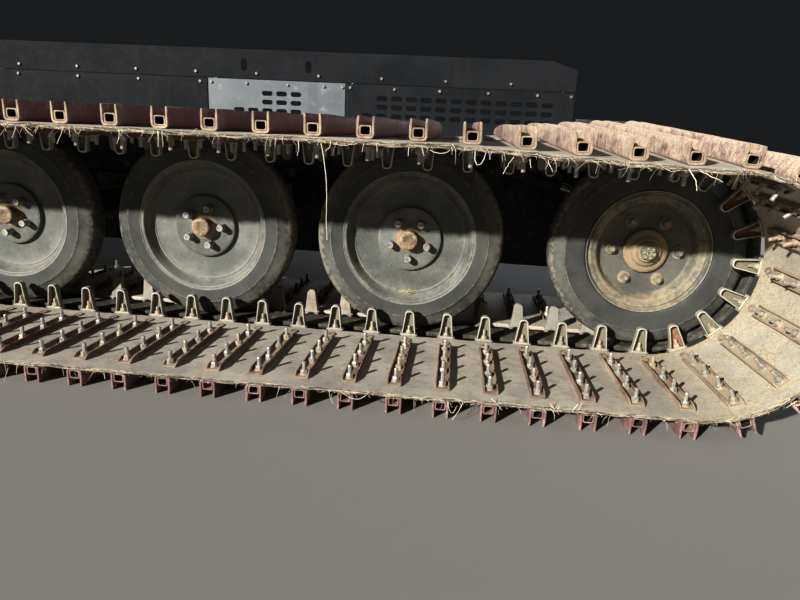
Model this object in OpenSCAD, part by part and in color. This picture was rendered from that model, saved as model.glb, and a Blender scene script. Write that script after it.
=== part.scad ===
// Track unit of a snow groomer, right-hand side.
// One side's running gear: endless belt track with steel crossbars, four road
// wheels, a front tension wheel on a hanging arm, a rear drive sprocket and
// the chassis side wall that carries them.
// X forward, Y inward (towards the middle of the machine), Z up.
// Inside the model Y = 0 is the middle of the wheel lane and X = 0 is one
// crossbar; the last translate puts the origin under the middle of the unit.

/* [Track] */
// Number of crossbars round the loop
cleat_n = 73; // [73:1:73]
// Width of a crossbar's section, along the track
cleat_w = 38; // [34:1:42]
// Height of a crossbar's section
cleat_h = 46; // [44:1:50]
// Wall of a crossbar's section
cleat_t = 5; // [4:0.5:6]
// Half length of a crossbar, across the track
cleat_half = 500; // [480:1:510]
// Thickness of the belts
belt_t = 12; // [10:1:13]
// Half width of the narrow belt that the wheels run on
lane_half = 49; // [44:1:50]
// Inner edge of the wide belts, from the middle of the lane
belt_in = 95; // [95:1:100]
// Outer edge of the wide belts, from the middle of the lane
belt_out = 518; // [505:1:525]
// Height of a guide above the belt
guide_h = 74; // [60:1:76]
// Width of a guide at its foot
guide_w = 44; // [38:1:46]
// Face of a guide next to the wheel, from the middle of the lane
guide_face = 72; // [72:1:73]
// Depth of a guide
guide_d = 20; // [16:1:21]
// Sheet of a guide
guide_t = 4.5; // [3.5:0.5:5]

/* [Wheels] */
// Outside diameter of a road wheel's tyre
wheel_d = 548; // [540:1:548]
// Half width of a tyre
tyre_half = 50; // [46:1:50]
// Diameter of a road wheel's rim lip
road_lip_d = 388; // [376:1:396]
// Diameter of the tension wheel's rim lip
idler_lip_d = 344; // [336:1:352]
// Distance between road wheels
wheel_gap = 618; // [618:1:618]
// Front road wheel's axle, along X
wheel_x = -17; // [-17:1:-17]
// Tension wheel's axle, along X
idler_x = 657; // [655:1:657]
// Tension wheel's axle height
idler_z = 339; // [339:1:339]

/* [Drive] */
// Teeth round the sprocket
teeth_n = 16; // [16:1:16]
// Sprocket axle, along X
drive_x = -2460; // [-2460:1:-2460]
// Sprocket axle height
drive_z = 379; // [379:1:379]

/* [Side wall] */
// Outer face of the side wall, from the middle of the lane
wall_y = 608; // [604:1:620]
// Plate of the side wall
wall_t = 8; // [6:1:10]
// Lower edge of the side wall
wall_z0 = 154; // [150:1:180]
// Edge between side wall and vent panels
wall_z1 = 634; // [620:1:650]
// Upper edge of the vent panels
wall_z2 = 806; // [800:1:820]

/* [Hidden] */
$fn = 64;

// place of the model's origin, in the wheel lane's own frame
shift = [888, -120, 0];

// --- the loop, along the middle of the belt's thickness --------------------
mid_r = belt_t / 2;
belt_z = cleat_h + mid_r;                       // bottom run, middle of the belt
wheel_r = wheel_d / 2;
wheel_z = cleat_h + belt_t + wheel_r;           // the road wheels stand on the lane belt
top_z = wheel_z + wheel_r + mid_r + 0.6;        // and the slack upper run lies on the wheels
drive_r = teeth_n * 110 / 360 * 180 / PI;       // pitch radius of the sprocket
turn_x = 662;                                   // middle of the turn round the tension wheel
rear_x = wheel_x - 3 * wheel_gap;
bend = 1500;                                    // radius of the upper run's two hollow bends
seat = 0.02;                                    // play under a crossbar and under a channel
// columns: x, z, radius of the belt's middle
C = [[rear_x - 60, wheel_z, wheel_z - belt_z],
     [drive_x, drive_z, drive_r],
     [turn_x, idler_z, idler_z - belt_z]];
function span(a, b) = norm([b[0] - a[0], b[1] - a[1]]);
// angle of the outward normal on the straight from circle a to circle b
function nrm(a, b) = let (n = atan2(b[1] - a[1], b[0] - a[0]) + acos((a[2] - b[2]) / span(a, b))) n < 0 ? n + 360 : n;
// slope of the straight from a turn c down to the hollow bend that ends at x
function slope(c, x) = let (u = abs(x - c[0]), v = top_z + bend - c[1]) asin((c[2] + bend) / norm([u, v])) - atan2(v, u);
n2 = nrm(C[0], C[1]);
down_a = slope(C[1], rear_x);
up_a = slope(C[2], wheel_x);
function on(c, a) = [c[0] + c[2] * cos(a), c[1] + c[2] * sin(a)];
// columns: start of the stretch, its outward normal, its radius (0 straight, below 0 hollow)
SEG = [[[turn_x, belt_z], 270, 0],
       [[rear_x - 60, belt_z], 270, C[0][2]],
       [on(C[0], n2), n2, 0],
       [on(C[1], n2), n2, C[1][2]],
       [on(C[1], 90 - down_a), 90 - down_a, 0],
       [[rear_x - bend * sin(down_a), top_z + bend - bend * cos(down_a)], 90 - down_a, -bend],
       [[rear_x, top_z], 90, 0],
       [[wheel_x, top_z], 90, -bend],
       [[wheel_x + bend * sin(up_a), top_z + bend - bend * cos(up_a)], 90 + up_a, 0],
       [on(C[2], 90 + up_a), 90 + up_a, C[2][2]],
       [[turn_x, belt_z], -90, 0]];
LEN = [for (k = [0:9]) SEG[k][2] == 0 ? norm(SEG[k + 1][0] - SEG[k][0])
                                      : abs((SEG[k][1] - SEG[k + 1][1]) * PI / 180 * SEG[k][2])];
function upto(k) = k <= 0 ? 0 : upto(k - 1) + LEN[k - 1];
START = [for (k = [0:10]) upto(k)];
loop_len = START[10];
pitch = loop_len / cleat_n;
// x, z and outward normal at the distance s, clockwise from under the tension wheel
function pose(s) = let (k = max([for (i = [0:9]) if (START[i] <= s) i]), g = SEG[k], d = s - START[k], r = g[2],
                        m = r == 0 ? g[1] : g[1] - d / r * 180 / PI)
    r == 0 ? [g[0][0] + d * sin(g[1]), g[0][1] - d * cos(g[1]), g[1]]
           : [g[0][0] - r * cos(g[1]) + r * cos(m), g[0][1] - r * sin(g[1]) + r * sin(m), m];
function ease(t) = let (u = max(0, min(1, t))) u * u * (3 - 2 * u);
// the worn track leans outward on its upper run, most of all over the tension wheel
function lean(s) = s < START[4] ? 0 :
    s < START[7] ? 0.9 * ease((s - START[4]) / (START[6] - START[4])) :
    s < START[9] ? 0.9 + 3.7 * ease((s - START[7]) / (START[9] - START[7])) :
                   4.6 * (1 - ease((s - START[9]) / (LEN[9] * 0.85)));
first = turn_x - 5 * 110;                        // a crossbar stands at X = 0
function along(i) = (first + i * pitch) % loop_len;
function at(i) = pose(along(i));

// --- helpers ---------------------------------------------------------------
// a profile drawn in X and Z, from y0 to y1
module prism(y0, y1) translate([0, y1, 0]) rotate([90, 0, 0]) linear_extrude(y1 - y0) children();
// a profile of radius and place along the axle, turned round the Y axis
module turned(x, z) translate([x, 0, z]) rotate([-90, 0, 0]) rotate_extrude($fn = 96) children();
// a round bar along Y
module bar(x, z, d, y0, y1) translate([x, y0, z]) rotate([-90, 0, 0]) cylinder(d = d, h = y1 - y0);
// children are drawn with Z outward, at crossbar i
module ride(i) {
    q = at(i);
    translate([q[0], 0, q[1]]) rotate([0, 90 - q[2], 0]) rotate([lean(along(i)), 0, 0]) children();
}
module slot(x, z, w, h) translate([x, z]) {
    square([w - h, h], center = true);
    for (k = [-1, 1]) translate([k * (w - h) / 2, 0]) circle(d = h, $fn = 24);
}

// --- track -----------------------------------------------------------------
// a belt lies flat on each crossbar for 40 mm and follows the loop in between
// columns: pose, lean, place along the pose's own tangent
STATIONS = [for (i = [0:cleat_n - 1]) let (q = at(i), a = lean(along(i)))
    each concat([[q, a, -20], [q, a, 20]],
                [for (j = [1:3]) let (s = (along(i) + 20 + (pitch - 40) * j / 4) % loop_len)
                    if (pitch_turns(i)) [pose(s), lean(s), 0]])];
// true where the belt turns between crossbars i and i + 1
function pitch_turns(i) = abs(at(i)[2] - at((i + 1) % cleat_n)[2]) % 360 > 1 &&
                          abs(at(i)[2] - at((i + 1) % cleat_n)[2]) < 359;
// point at y across and h outward of the belt's middle
function belt_pt(st, y, h) = let (q = st[0], a = st[1], b = 90 - q[2], v = y * cos(a) - h * sin(a), w = y * sin(a) + h * cos(a))
    [q[0] + st[2] * cos(b) + w * sin(b), v, q[1] - st[2] * sin(b) + w * cos(b)];
module belt(y0, y1) let (n = len(STATIONS)) polyhedron(
    points = [for (st = STATIONS) each [belt_pt(st, y0, -mid_r), belt_pt(st, y1, -mid_r),
                                        belt_pt(st, y1, mid_r), belt_pt(st, y0, mid_r)]],
    faces = [for (k = [0:n - 1], j = [0:3]) let (a = k * 4 + j, b = k * 4 + (j + 1) % 4,
                                                 c = (k + 1) % n * 4 + (j + 1) % 4, d = (k + 1) % n * 4 + j)
             each [[a, b, c], [a, c, d]]]);
module track_belt_outer() color([0.36, 0.35, 0.29]) belt(-belt_out, -belt_in);
module track_belt_lane() color([0.36, 0.35, 0.29]) belt(-lane_half, lane_half);
module track_belt_inner() color([0.36, 0.35, 0.29]) belt(belt_in, belt_out);
// closed box next to the belt, a web, and two prongs outward
module cleat_section() difference() {
    polygon([[-cleat_w / 2 + 4, seat], [cleat_w / 2 - 4, seat], [cleat_w / 2, 4],
             [cleat_w / 2 - 3, cleat_h], [cleat_w / 2 - 3 - cleat_t, cleat_h],
             [cleat_w / 2 - 2 - cleat_t, cleat_h * 0.6], [-cleat_w / 2 + 2 + cleat_t, cleat_h * 0.6],
             [-cleat_w / 2 + 3 + cleat_t, cleat_h], [-cleat_w / 2 + 3, cleat_h], [-cleat_w / 2, 4]]);
    polygon([[-cleat_w / 2 + cleat_t, cleat_t], [cleat_w / 2 - cleat_t, cleat_t],
             [cleat_w / 2 - cleat_t - 1, cleat_h * 0.6 - cleat_t],
             [-cleat_w / 2 + cleat_t + 1, cleat_h * 0.6 - cleat_t]]);
}
module track_crossbars() color([0.40, 0.25, 0.20])
    for (i = [0:cleat_n - 1]) ride(i) translate([0, 0, mid_r])
        prism(-cleat_half, cleat_half) cleat_section();
// shallow channels on the belt's inner face, under the nuts
module track_backing_channels() color([0.42, 0.32, 0.26])
    for (i = [0:cleat_n - 1], k = [-1, 1]) ride(i) translate([0, 0, -mid_r])
        prism(k < 0 ? -474 : 165, k < 0 ? -165 : 474)
            polygon([[-17, -seat], [17, -seat], [17, -13], [13.5, -13], [13.5, -4], [-13.5, -4],
                     [-13.5, -13], [-17, -13]]);
// pressed guide: round-topped, closed on the wheel's side, open on the other
module guide(k) translate([0, 0, -mid_r]) {
    y0 = k < 0 ? -guide_face - guide_d : guide_face;
    difference() {
        prism(y0, y0 + guide_d) polygon(guide_pts(0));
        prism(k < 0 ? y0 - 1 : y0 + guide_t, k < 0 ? y0 + guide_d - guide_t : y0 + guide_d + 1)
            polygon(guide_pts(guide_t));
    }
}
function guide_pts(t) = let (w = guide_w / 2 - t, u = guide_w * 0.29 - t, h = guide_h - t)
    [[-w, t > 0 ? 1 : belt_t], [w, t > 0 ? 1 : belt_t], [u, -h + 8], [u - 4, -h + 2], [u - 8, -h], [-u + 8, -h],
     [-u + 4, -h + 2], [-u, -h + 8]];
module track_guides_outer() color([0.55, 0.51, 0.44]) for (i = [0:cleat_n - 1]) ride(i) guide(-1);
module track_guides_inner() color([0.55, 0.51, 0.44]) for (i = [0:cleat_n - 1]) ride(i) guide(1);

// --- wheels ----------------------------------------------------------------
module tyre(x, z, lip_d, r = wheel_r) color([0.23, 0.23, 0.22]) turned(x, z)
    polygon([[lip_d / 2 - 6, -tyre_half + 3], [r * 0.84, -tyre_half], [r - 12, -tyre_half + 14],
             [r, -tyre_half + 28], [r, tyre_half - 28], [r - 12, tyre_half - 14],
             [r * 0.84, tyre_half], [lip_d / 2 - 6, tyre_half - 3]]);
// rim: barrel under the tyre, a sloping shoulder and the disc
// front and back: corners of a shelf between the disc and the lip
module rim(x, z, lip_d, disc_d, depth, bore_d, front = [], back = []) color([0.25, 0.25, 0.24]) turned(x, z) {
    r = lip_d / 2 - 6;
    polygon(concat([[bore_d / 2, -tyre_half + depth], [disc_d / 2, -tyre_half + depth]], front,
                   [[r - 6, -tyre_half + 2], [r, -tyre_half + 2], [r, tyre_half - 2], [r - 6, tyre_half - 2],
                    [r - 6, -tyre_half + 18]], back,
                   [[disc_d / 2 + 3, -tyre_half + depth + 7], [bore_d / 2, -tyre_half + depth + 7]]));
}
// columns: number, axle along X, from the front wheel back
ROAD = [for (i = [0:3]) [i + 1, wheel_x - i * wheel_gap]];
module road_tyre(i) tyre(ROAD[i][1], wheel_z, road_lip_d);
module road_rim(i) rim(ROAD[i][1], wheel_z, road_lip_d, 334, 36, 80);
// hub: bolted flange over the disc, cap, and the bearing barrel behind
module road_hub(i) color([0.28, 0.26, 0.23]) turned(ROAD[i][1], wheel_z)
    polygon([[0, -64], [22, -64], [28, -60], [28, -28], [92, -28], [92, -14], [40, -14], [40, -7],
             [66, -7], [66, 0], [58, 10], [58, 62], [0, 62]]);
// axle beam: from the side wall out to the hub
module axle_beam(i) color([0.22, 0.22, 0.23]) {
    x = ROAD[i][1];
    bar(x, wheel_z, 70, 62, 150);
    translate([x - 45, 150, wheel_z - 45]) cube([90, wall_y - 15 - 150, 90]);
    translate([x - 95, wall_y - 15, wheel_z - 95]) cube([190, 15, 190]);
}
module idler_tyre() tyre(idler_x, idler_z, idler_lip_d, wheel_r - 0.5);
module idler_rim() rim(idler_x, idler_z, idler_lip_d, 256, 44, 110,
                         [[141, -32], [157, -37]], [[145, -25]]);
module idler_hub() color([0.36, 0.31, 0.24]) turned(idler_x, idler_z)
    polygon([[0, -58], [20, -58], [20, -40], [30, -36], [44, -24], [62, -18], [62, -6], [55, -6],
             [55, 1], [100, 1], [100, 8], [68, 10], [68, 62], [0, 62]]);

// --- track tensioner -------------------------------------------------------
arm_x = 630;            // pivot of the hanging arm
arm_z = 600;
eye_x = 642;            // rod's eye on the arm
eye_z = 434;
cyl_x = 238;            // barrel's eye on the side wall
cyl_z = 534;
module tension_arm() color([0.22, 0.22, 0.23]) {
    bar(idler_x, idler_z, 76, 62, 530);
    difference() {
        union() {
            prism(530, 560) polygon([[arm_x - 58, arm_z], [arm_x + 58, arm_z], [idler_x + 62, idler_z],
                                     [idler_x - 62, idler_z]]);
            bar(arm_x, arm_z, 116, 530, 598);
            bar(idler_x, idler_z, 124, 530, 560);
        }
        bar(arm_x, arm_z, 51, 520, 610);
        bar(eye_x, eye_z, 31, 520, 570);
    }
}
cyl_a = atan2(eye_z - cyl_z, eye_x - cyl_x);
cyl_l = norm([eye_x - cyl_x, eye_z - cyl_z]);
// children are drawn along X from the barrel's eye towards the rod's eye
module along_cyl() translate([cyl_x, 545, cyl_z]) rotate([0, -cyl_a, 0]) children();
module rod_x(d, x0, x1) translate([x0, 0, 0]) rotate([0, 90, 0]) cylinder(d = d, h = x1 - x0);
module tension_cylinder_barrel() color([0.24, 0.24, 0.25]) along_cyl() difference() {
    union() {
        translate([0, -14, 0]) rotate([-90, 0, 0]) cylinder(d = 60, h = 28);
        rod_x(36, 20, 50);
        rod_x(70, 45, 250);
        rod_x(78, 232, 258);
    }
    translate([0, -15, 0]) rotate([-90, 0, 0]) cylinder(d = 31, h = 30);
    rod_x(36.6, 80, 259);
}
module tension_cylinder_rod() color([0.62, 0.62, 0.60]) along_cyl() {
        rod_x(36, 150, cyl_l - 100);
        translate([cyl_l - 110, -28, -26]) cube([20, 56, 52]);
        for (k = [-1, 1]) {
            translate([cyl_l - 92, k > 0 ? 17 : -28, -26]) cube([92, 11, 52]);
            translate([cyl_l, k > 0 ? 17 : -28, 0]) rotate([-90, 0, 0]) cylinder(d = 52, h = 11);
        }
        translate([cyl_l, -28, 0]) rotate([-90, 0, 0]) cylinder(d = 30, h = 56);
}
// pivot pin of the arm and ears of the cylinder, both on the side wall
module tension_bracket() color([0.22, 0.22, 0.23]) {
    bar(arm_x, arm_z, 50, 526, wall_y);
    bar(arm_x, arm_z, 70, 520, 526);
    bar(arm_x, arm_z, 150, 600, wall_y);
    bar(cyl_x, cyl_z, 30, 514, 576);
    for (k = [-1, 1]) bar(cyl_x, cyl_z, 66, k > 0 ? 563 : 517, k > 0 ? 573 : 527);
    translate([cyl_x - 82, 517, cyl_z - 33]) cube([44, wall_y - 517, 66]);
    for (k = [-1, 1]) translate([cyl_x - 44, k > 0 ? 563 : 517, cyl_z - 33]) cube([44, 10, 66]);
}

// --- drive -----------------------------------------------------------------
// angle of the first crossbar gap on the sprocket, so that the teeth stand in the gaps
on_drive = [for (i = [0:cleat_n - 1]) let (s = (first + i * pitch) % loop_len) if (s > START[3] + 110 && s < START[4] - 110) i];
tooth_a = at(on_drive[0])[2] - 180 / teeth_n;
// flat, half a tooth and its tip, in steps of angle (degrees) and radius
function tooth(i) = let (a = tooth_a + i * 360 / teeth_n)
    [for (q = [[8.6, 252], [5.2, 276], [4.2, 300], [2.6, 306], [-2.6, 306], [-4.2, 300], [-5.2, 276], [-8.6, 252]])
        [q[1] * cos(a + q[0]), q[1] * sin(a + q[0])]];
module ring_outline() translate([drive_x, drive_z])
    polygon([for (i = [teeth_n - 1:-1:0], q = tooth(i)) q]);
module sprocket_rings() color([0.30, 0.28, 0.25]) for (k = [-1, 1]) {
    y0 = k < 0 ? -66 : 54;
    difference() {
        prism(y0, y0 + 12) ring_outline();
        bar(drive_x, drive_z, 400, y0 - 1, y0 + 13);
    }
}
// drum: tread under the lane belt, two webs and the hub flange
module sprocket_drum() color([0.28, 0.27, 0.26]) turned(drive_x, drive_z)
    polygon([[0, -52], [88, -52], [88, -30], [150, -30], [190, -54], [250, -54], [250, -50], [273, -50],
             [273, 50], [250, 50], [250, 54], [200, 54], [200, 44], [262, 44], [262, -44], [196, -44],
             [152, -22], [70, -22], [70, -10], [0, -10]]);
module final_drive() color([0.26, 0.26, 0.27]) turned(drive_x, drive_z)
    polygon([[0, -10], [66, -10], [66, 70], [105, 78], [125, 96], [125, 210], [138, 214], [138, 240],
             [112, 250], [112, wall_y - 20], [165, wall_y - 20], [165, wall_y], [0, wall_y]]);
module drive_motor() color([0.24, 0.24, 0.25]) turned(drive_x, drive_z)
    polygon([[0, wall_y + wall_t], [120, wall_y + wall_t], [120, wall_y + 24], [82, wall_y + 30],
             [82, wall_y + 128], [60, wall_y + 150], [0, wall_y + 150]]);

// --- side wall -------------------------------------------------------------
module panel(x0, x1, z0, z1) translate([x0, z0]) square([x1 - x0, z1 - z0]);
module side_wall() color([0.13, 0.15, 0.19]) {
    difference() {
        prism(wall_y, wall_y + wall_t)
            polygon([[-2680, 294], [-2560, wall_z0 + 20], [-2300, wall_z0], [700, wall_z0], [790, 254],
                     [790, 714], [530, 714], [530, wall_z1], [-2680, wall_z1]]);
        for (r = ROAD) bar(r[1], wheel_z, 82, wall_y - 1, wall_y + wall_t + 1);
    }
}
module wall_chord_lower() color([0.13, 0.15, 0.19]) translate([-2300, wall_y + wall_t, wall_z0]) cube([3000, 60, wall_t]);
module wall_chord_upper() color([0.13, 0.15, 0.19])
    translate([-2680, wall_y + wall_t, wall_z1 - wall_t]) cube([3210, 60, wall_t]);
module side_rail() color([0.20, 0.21, 0.24]) difference() {
    translate([-2200, wall_y - 24, 446]) cube([2360, 24, 34]);
    translate([-2201, wall_y - 19, 451]) cube([2362, 20, 24]);
}
// vent panel: a sheet with rows of round-ended slots
// rows: first slot along X, height, number of slots
module vents(x0, x1, rows) color([0.30, 0.33, 0.37]) prism(wall_y - 4, wall_y) difference() {
    panel(x0, x1, wall_z1 - 28, wall_z2 - 2);
    for (r = rows, i = [0:r[2] - 1]) slot(r[0] + i * 56, r[1], 42, 17);
}
module vent_panel_rear() vents(-873, -337, [[-640, 756, 3], [-640, 724, 3], [-752, 692, 5]]);
module vent_panel_front() vents(-333, 516, [[-196, 756, 12], [-196, 724, 12], [-252, 692, 13]]);
module vent_panel_tail() color([0.20, 0.22, 0.25]) translate([-2680, wall_y - 4, wall_z1 - 28])
    cube([1803, 4, wall_z2 - wall_z1 + 26]);
// posts that stand on the side wall's upper flange and carry the panels
module panel_posts() color([0.20, 0.20, 0.22]) for (x = [-2640, -1760, -875, -335, 496])
    translate([x - 20, wall_y, wall_z1]) cube([40, 40, 908 - wall_z1 - (x > 420 ? 40 : 0)]);
// folded strip above the panels, with two round-ended holes
module upper_strip() color([0.22, 0.24, 0.28]) {
    prism(wall_y - 4, wall_y) difference() {
        polygon([[-2680, wall_z2], [516, wall_z2], [516, 878], [420, 912], [-2680, 912]]);
        for (x = [-730, -480]) translate([x, 856]) rotate(90) slot(0, 0, 44, 24);
    }
    translate([-2680, wall_y, 908]) cube([3100, 50, 4]);
}
// flanges for the cross members that tie the two sides together
module crossmember_flange(x) color([0.20, 0.20, 0.22]) difference() {
    union() {
        translate([x - 150, wall_y + wall_t, 284]) cube([300, 16, 200]);
        translate([x - 90, wall_y + wall_t + 16, 324]) cube([180, 60, 120]);
        translate([x - 150, wall_y + wall_t + 76, 284]) cube([300, 16, 200]);
    }
    for (a = [-1, 1], b = [-1, 1])
        bar(x + a * 120, 384 + b * 70, 22, wall_y + wall_t + 75, wall_y + wall_t + 93);
}
module crossmember_flange_rear() crossmember_flange(-1580);
module crossmember_flange_front() crossmember_flange(-326);

translate(shift) {
    track_belt_outer();
    track_belt_lane();
    track_belt_inner();
    track_crossbars();
    track_backing_channels();
    track_guides_outer();
    track_guides_inner();
    road_tyre(0);  // road_tyre_1
    road_tyre(1);  // road_tyre_2
    road_tyre(2);  // road_tyre_3
    road_tyre(3);  // road_tyre_4
    road_rim(0);  // road_rim_1
    road_rim(1);  // road_rim_2
    road_rim(2);  // road_rim_3
    road_rim(3);  // road_rim_4
    road_hub(0);  // road_hub_1
    road_hub(1);  // road_hub_2
    road_hub(2);  // road_hub_3
    road_hub(3);  // road_hub_4
    axle_beam(0);  // axle_beam_1
    axle_beam(1);  // axle_beam_2
    axle_beam(2);  // axle_beam_3
    axle_beam(3);  // axle_beam_4
    idler_tyre();
    idler_rim();
    idler_hub();
    tension_arm();
    tension_cylinder_barrel();
    tension_cylinder_rod();
    tension_bracket();
    sprocket_rings();
    sprocket_drum();
    final_drive();
    drive_motor();
    side_wall();
    wall_chord_lower();
    wall_chord_upper();
    side_rail();
    vent_panel_rear();
    vent_panel_front();
    vent_panel_tail();
    panel_posts();
    upper_strip();
    crossmember_flange_rear();
    crossmember_flange_front();
}
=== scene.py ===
"""Looks of a snow groomer's track unit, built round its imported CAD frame.

All shapes are drawn in millimetres in the wheel lane's own frame (x forward, y inward from the
middle of the lane, z up from the floor) and moved into the frame's metres by world().
"""
import math

import bpy
import numpy as np
from mathutils import Matrix, Vector
from mathutils.geometry import tessellate_polygon

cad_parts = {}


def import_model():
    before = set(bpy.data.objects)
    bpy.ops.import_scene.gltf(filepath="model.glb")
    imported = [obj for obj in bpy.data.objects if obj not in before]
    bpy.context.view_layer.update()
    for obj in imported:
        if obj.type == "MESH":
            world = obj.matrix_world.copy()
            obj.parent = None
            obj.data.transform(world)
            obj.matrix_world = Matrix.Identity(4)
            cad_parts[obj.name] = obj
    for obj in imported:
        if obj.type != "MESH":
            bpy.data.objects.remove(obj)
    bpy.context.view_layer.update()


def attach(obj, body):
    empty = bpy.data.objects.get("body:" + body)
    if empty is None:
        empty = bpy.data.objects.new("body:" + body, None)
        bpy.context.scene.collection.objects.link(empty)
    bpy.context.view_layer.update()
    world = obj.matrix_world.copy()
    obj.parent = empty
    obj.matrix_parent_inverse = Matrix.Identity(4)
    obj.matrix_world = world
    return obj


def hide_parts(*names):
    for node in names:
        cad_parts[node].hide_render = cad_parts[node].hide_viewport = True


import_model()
SHIFT = np.array([888.0, -120.0, 0.0])


def world(v):
    return (np.asarray(v, float) + SHIFT) / 1000.0


def sd(a):
    return math.sin(math.radians(a))


def cd(a):
    return math.cos(math.radians(a))


# ---------------------------------------------------------------- camera
EYE = np.array([1.00119, -1.88353, 0.61586])
RIGHT = np.array([0.9939986, 0.0981321, 0.0483412])
DOWN = np.array([0.0720661, -0.2549626, -0.9642616])
AHEAD = np.array([-0.0822998, 0.9619585, -0.2605045])
cam_data = bpy.data.cameras.new("camera")
cam_data.lens = 27.0
cam_data.sensor_width = 36.0
cam_data.clip_start = 0.05
cam_data.clip_end = 100.0
cam = bpy.data.objects.new("camera", cam_data)
bpy.context.scene.collection.objects.link(cam)
m = Matrix.Identity(4)
for r in range(3):
    m[r][0], m[r][1], m[r][2], m[r][3] = RIGHT[r], -DOWN[r], -AHEAD[r], EYE[r]
cam.matrix_world = m
bpy.context.scene.camera = cam


def sight(px, py, y):
    """Point of the lane frame on the plane y that shows at this place in the 800 x 600 view."""
    d = AHEAD + RIGHT * (px - 400.0) / 600.0 + DOWN * (py - 300.0) / 600.0
    eye = EYE * 1000.0 - SHIFT
    return eye + d * ((y - eye[1]) / d[1])


# ---------------------------------------------------------------- the loop
CLEATS, CLEAT_H, BELT_T, CLEAT_HALF = 73, 46.0, 12.0, 500.0
MID = BELT_T / 2
WHEEL_R, WHEEL_X, GAP = 274.0, -17.0, 618.0
WHEEL_Z = CLEAT_H + BELT_T + WHEEL_R
ROAD_X = [WHEEL_X - i * GAP for i in range(4)]
IDLER_X, IDLER_Z, TURN_X = 657.0, 339.0, 662.0
DRIVE_X, DRIVE_Z, TEETH = -2460.0, 379.0, 16
DRIVE_R = TEETH * 110 / (2 * math.pi)
REAR_X = ROAD_X[3]
BELT_Z = CLEAT_H + MID
TOP_Z = WHEEL_Z + WHEEL_R + MID + 0.6
BEND = 1500.0
WALL_Y = 608.0


def loop_stretches():
    c = [(REAR_X - 60, WHEEL_Z, WHEEL_Z - BELT_Z), (DRIVE_X, DRIVE_Z, DRIVE_R), (TURN_X, IDLER_Z, IDLER_Z - BELT_Z)]

    def normal(a, b):
        n = math.degrees(math.atan2(b[1] - a[1], b[0] - a[0])) + math.degrees(
            math.acos((a[2] - b[2]) / math.hypot(b[0] - a[0], b[1] - a[1])))
        return n + 360 if n < 0 else n

    def slope(k, x):
        u, v = abs(x - k[0]), TOP_Z + BEND - k[1]
        return math.degrees(math.asin((k[2] + BEND) / math.hypot(u, v)) - math.atan2(v, u))

    def on(k, a):
        return (k[0] + k[2] * cd(a), k[1] + k[2] * sd(a))

    n2, down, up = normal(c[0], c[1]), slope(c[1], REAR_X), slope(c[2], WHEEL_X)
    p = [(TURN_X, BELT_Z), (REAR_X - 60, BELT_Z), on(c[0], n2), on(c[1], n2), on(c[1], 90 - down),
         (REAR_X - BEND * sd(down), TOP_Z + BEND - BEND * cd(down)), (REAR_X, TOP_Z), (WHEEL_X, TOP_Z),
         (WHEEL_X + BEND * sd(up), TOP_Z + BEND - BEND * cd(up)), on(c[2], 90 + up)]
    n = [270, 270, n2, n2, 90 - down, 90 - down, 90, 90, 90 + up, 90 + up]
    r = [0, c[0][2], 0, c[1][2], 0, -BEND, 0, -BEND, 0, c[2][2]]
    nn = n[1:] + [-90]
    ln = []
    for k in range(10):
        q = p[(k + 1) % 10]
        ln.append(math.hypot(q[0] - p[k][0], q[1] - p[k][1]) if r[k] == 0 else abs(math.radians(n[k] - nn[k]) * r[k]))
    return p, n, r, ln


LP, LN, LR, LL = loop_stretches()
LOOP = sum(LL)
LS = [sum(LL[:k]) for k in range(11)]
PITCH = LOOP / CLEATS
FIRST = TURN_X - 550.0


def pose(s):
    s %= LOOP
    k = max(i for i in range(10) if LS[i] <= s)
    d, p, n, r = s - LS[k], LP[k], LN[k], LR[k]
    if r == 0:
        return (p[0] + d * sd(n), p[1] - d * cd(n), n)
    mm = n - math.degrees(d / r)
    c = (p[0] - r * cd(n), p[1] - r * sd(n))
    return (c[0] + r * cd(mm), c[1] + r * sd(mm), mm)


def ease(t):
    t = max(0.0, min(1.0, t))
    return t * t * (3 - 2 * t)


def lean(s):
    s %= LOOP
    if s < LS[4]:
        return 0.0
    if s < LS[7]:
        return 0.9 * ease((s - LS[4]) / (LS[6] - LS[4]))
    if s < LS[9]:
        return 0.9 + 3.7 * ease((s - LS[7]) / (LS[9] - LS[7]))
    return 4.6 * (1 - ease((s - LS[9]) / (LL[9] * 0.85)))


def ride_matrix(s, du=0.0, s_lean=None):
    """Rotation and place of the local frame (x along the travel, y across, z outward) at s."""
    x, z, n = pose(s)
    a = lean(s if s_lean is None else s_lean)
    b = 90 - n
    rot = np.array([[cd(b), sd(a) * sd(b), cd(a) * sd(b)], [0, cd(a), -sd(a)], [-sd(b), sd(a) * cd(b), cd(a) * cd(b)]])
    return rot, np.array([x, 0.0, z]) + du * np.array([cd(b), 0.0, -sd(b)])


BAR_S = [FIRST + i * PITCH for i in range(CLEATS)]
BAR_M = [ride_matrix(s) for s in BAR_S]


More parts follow.
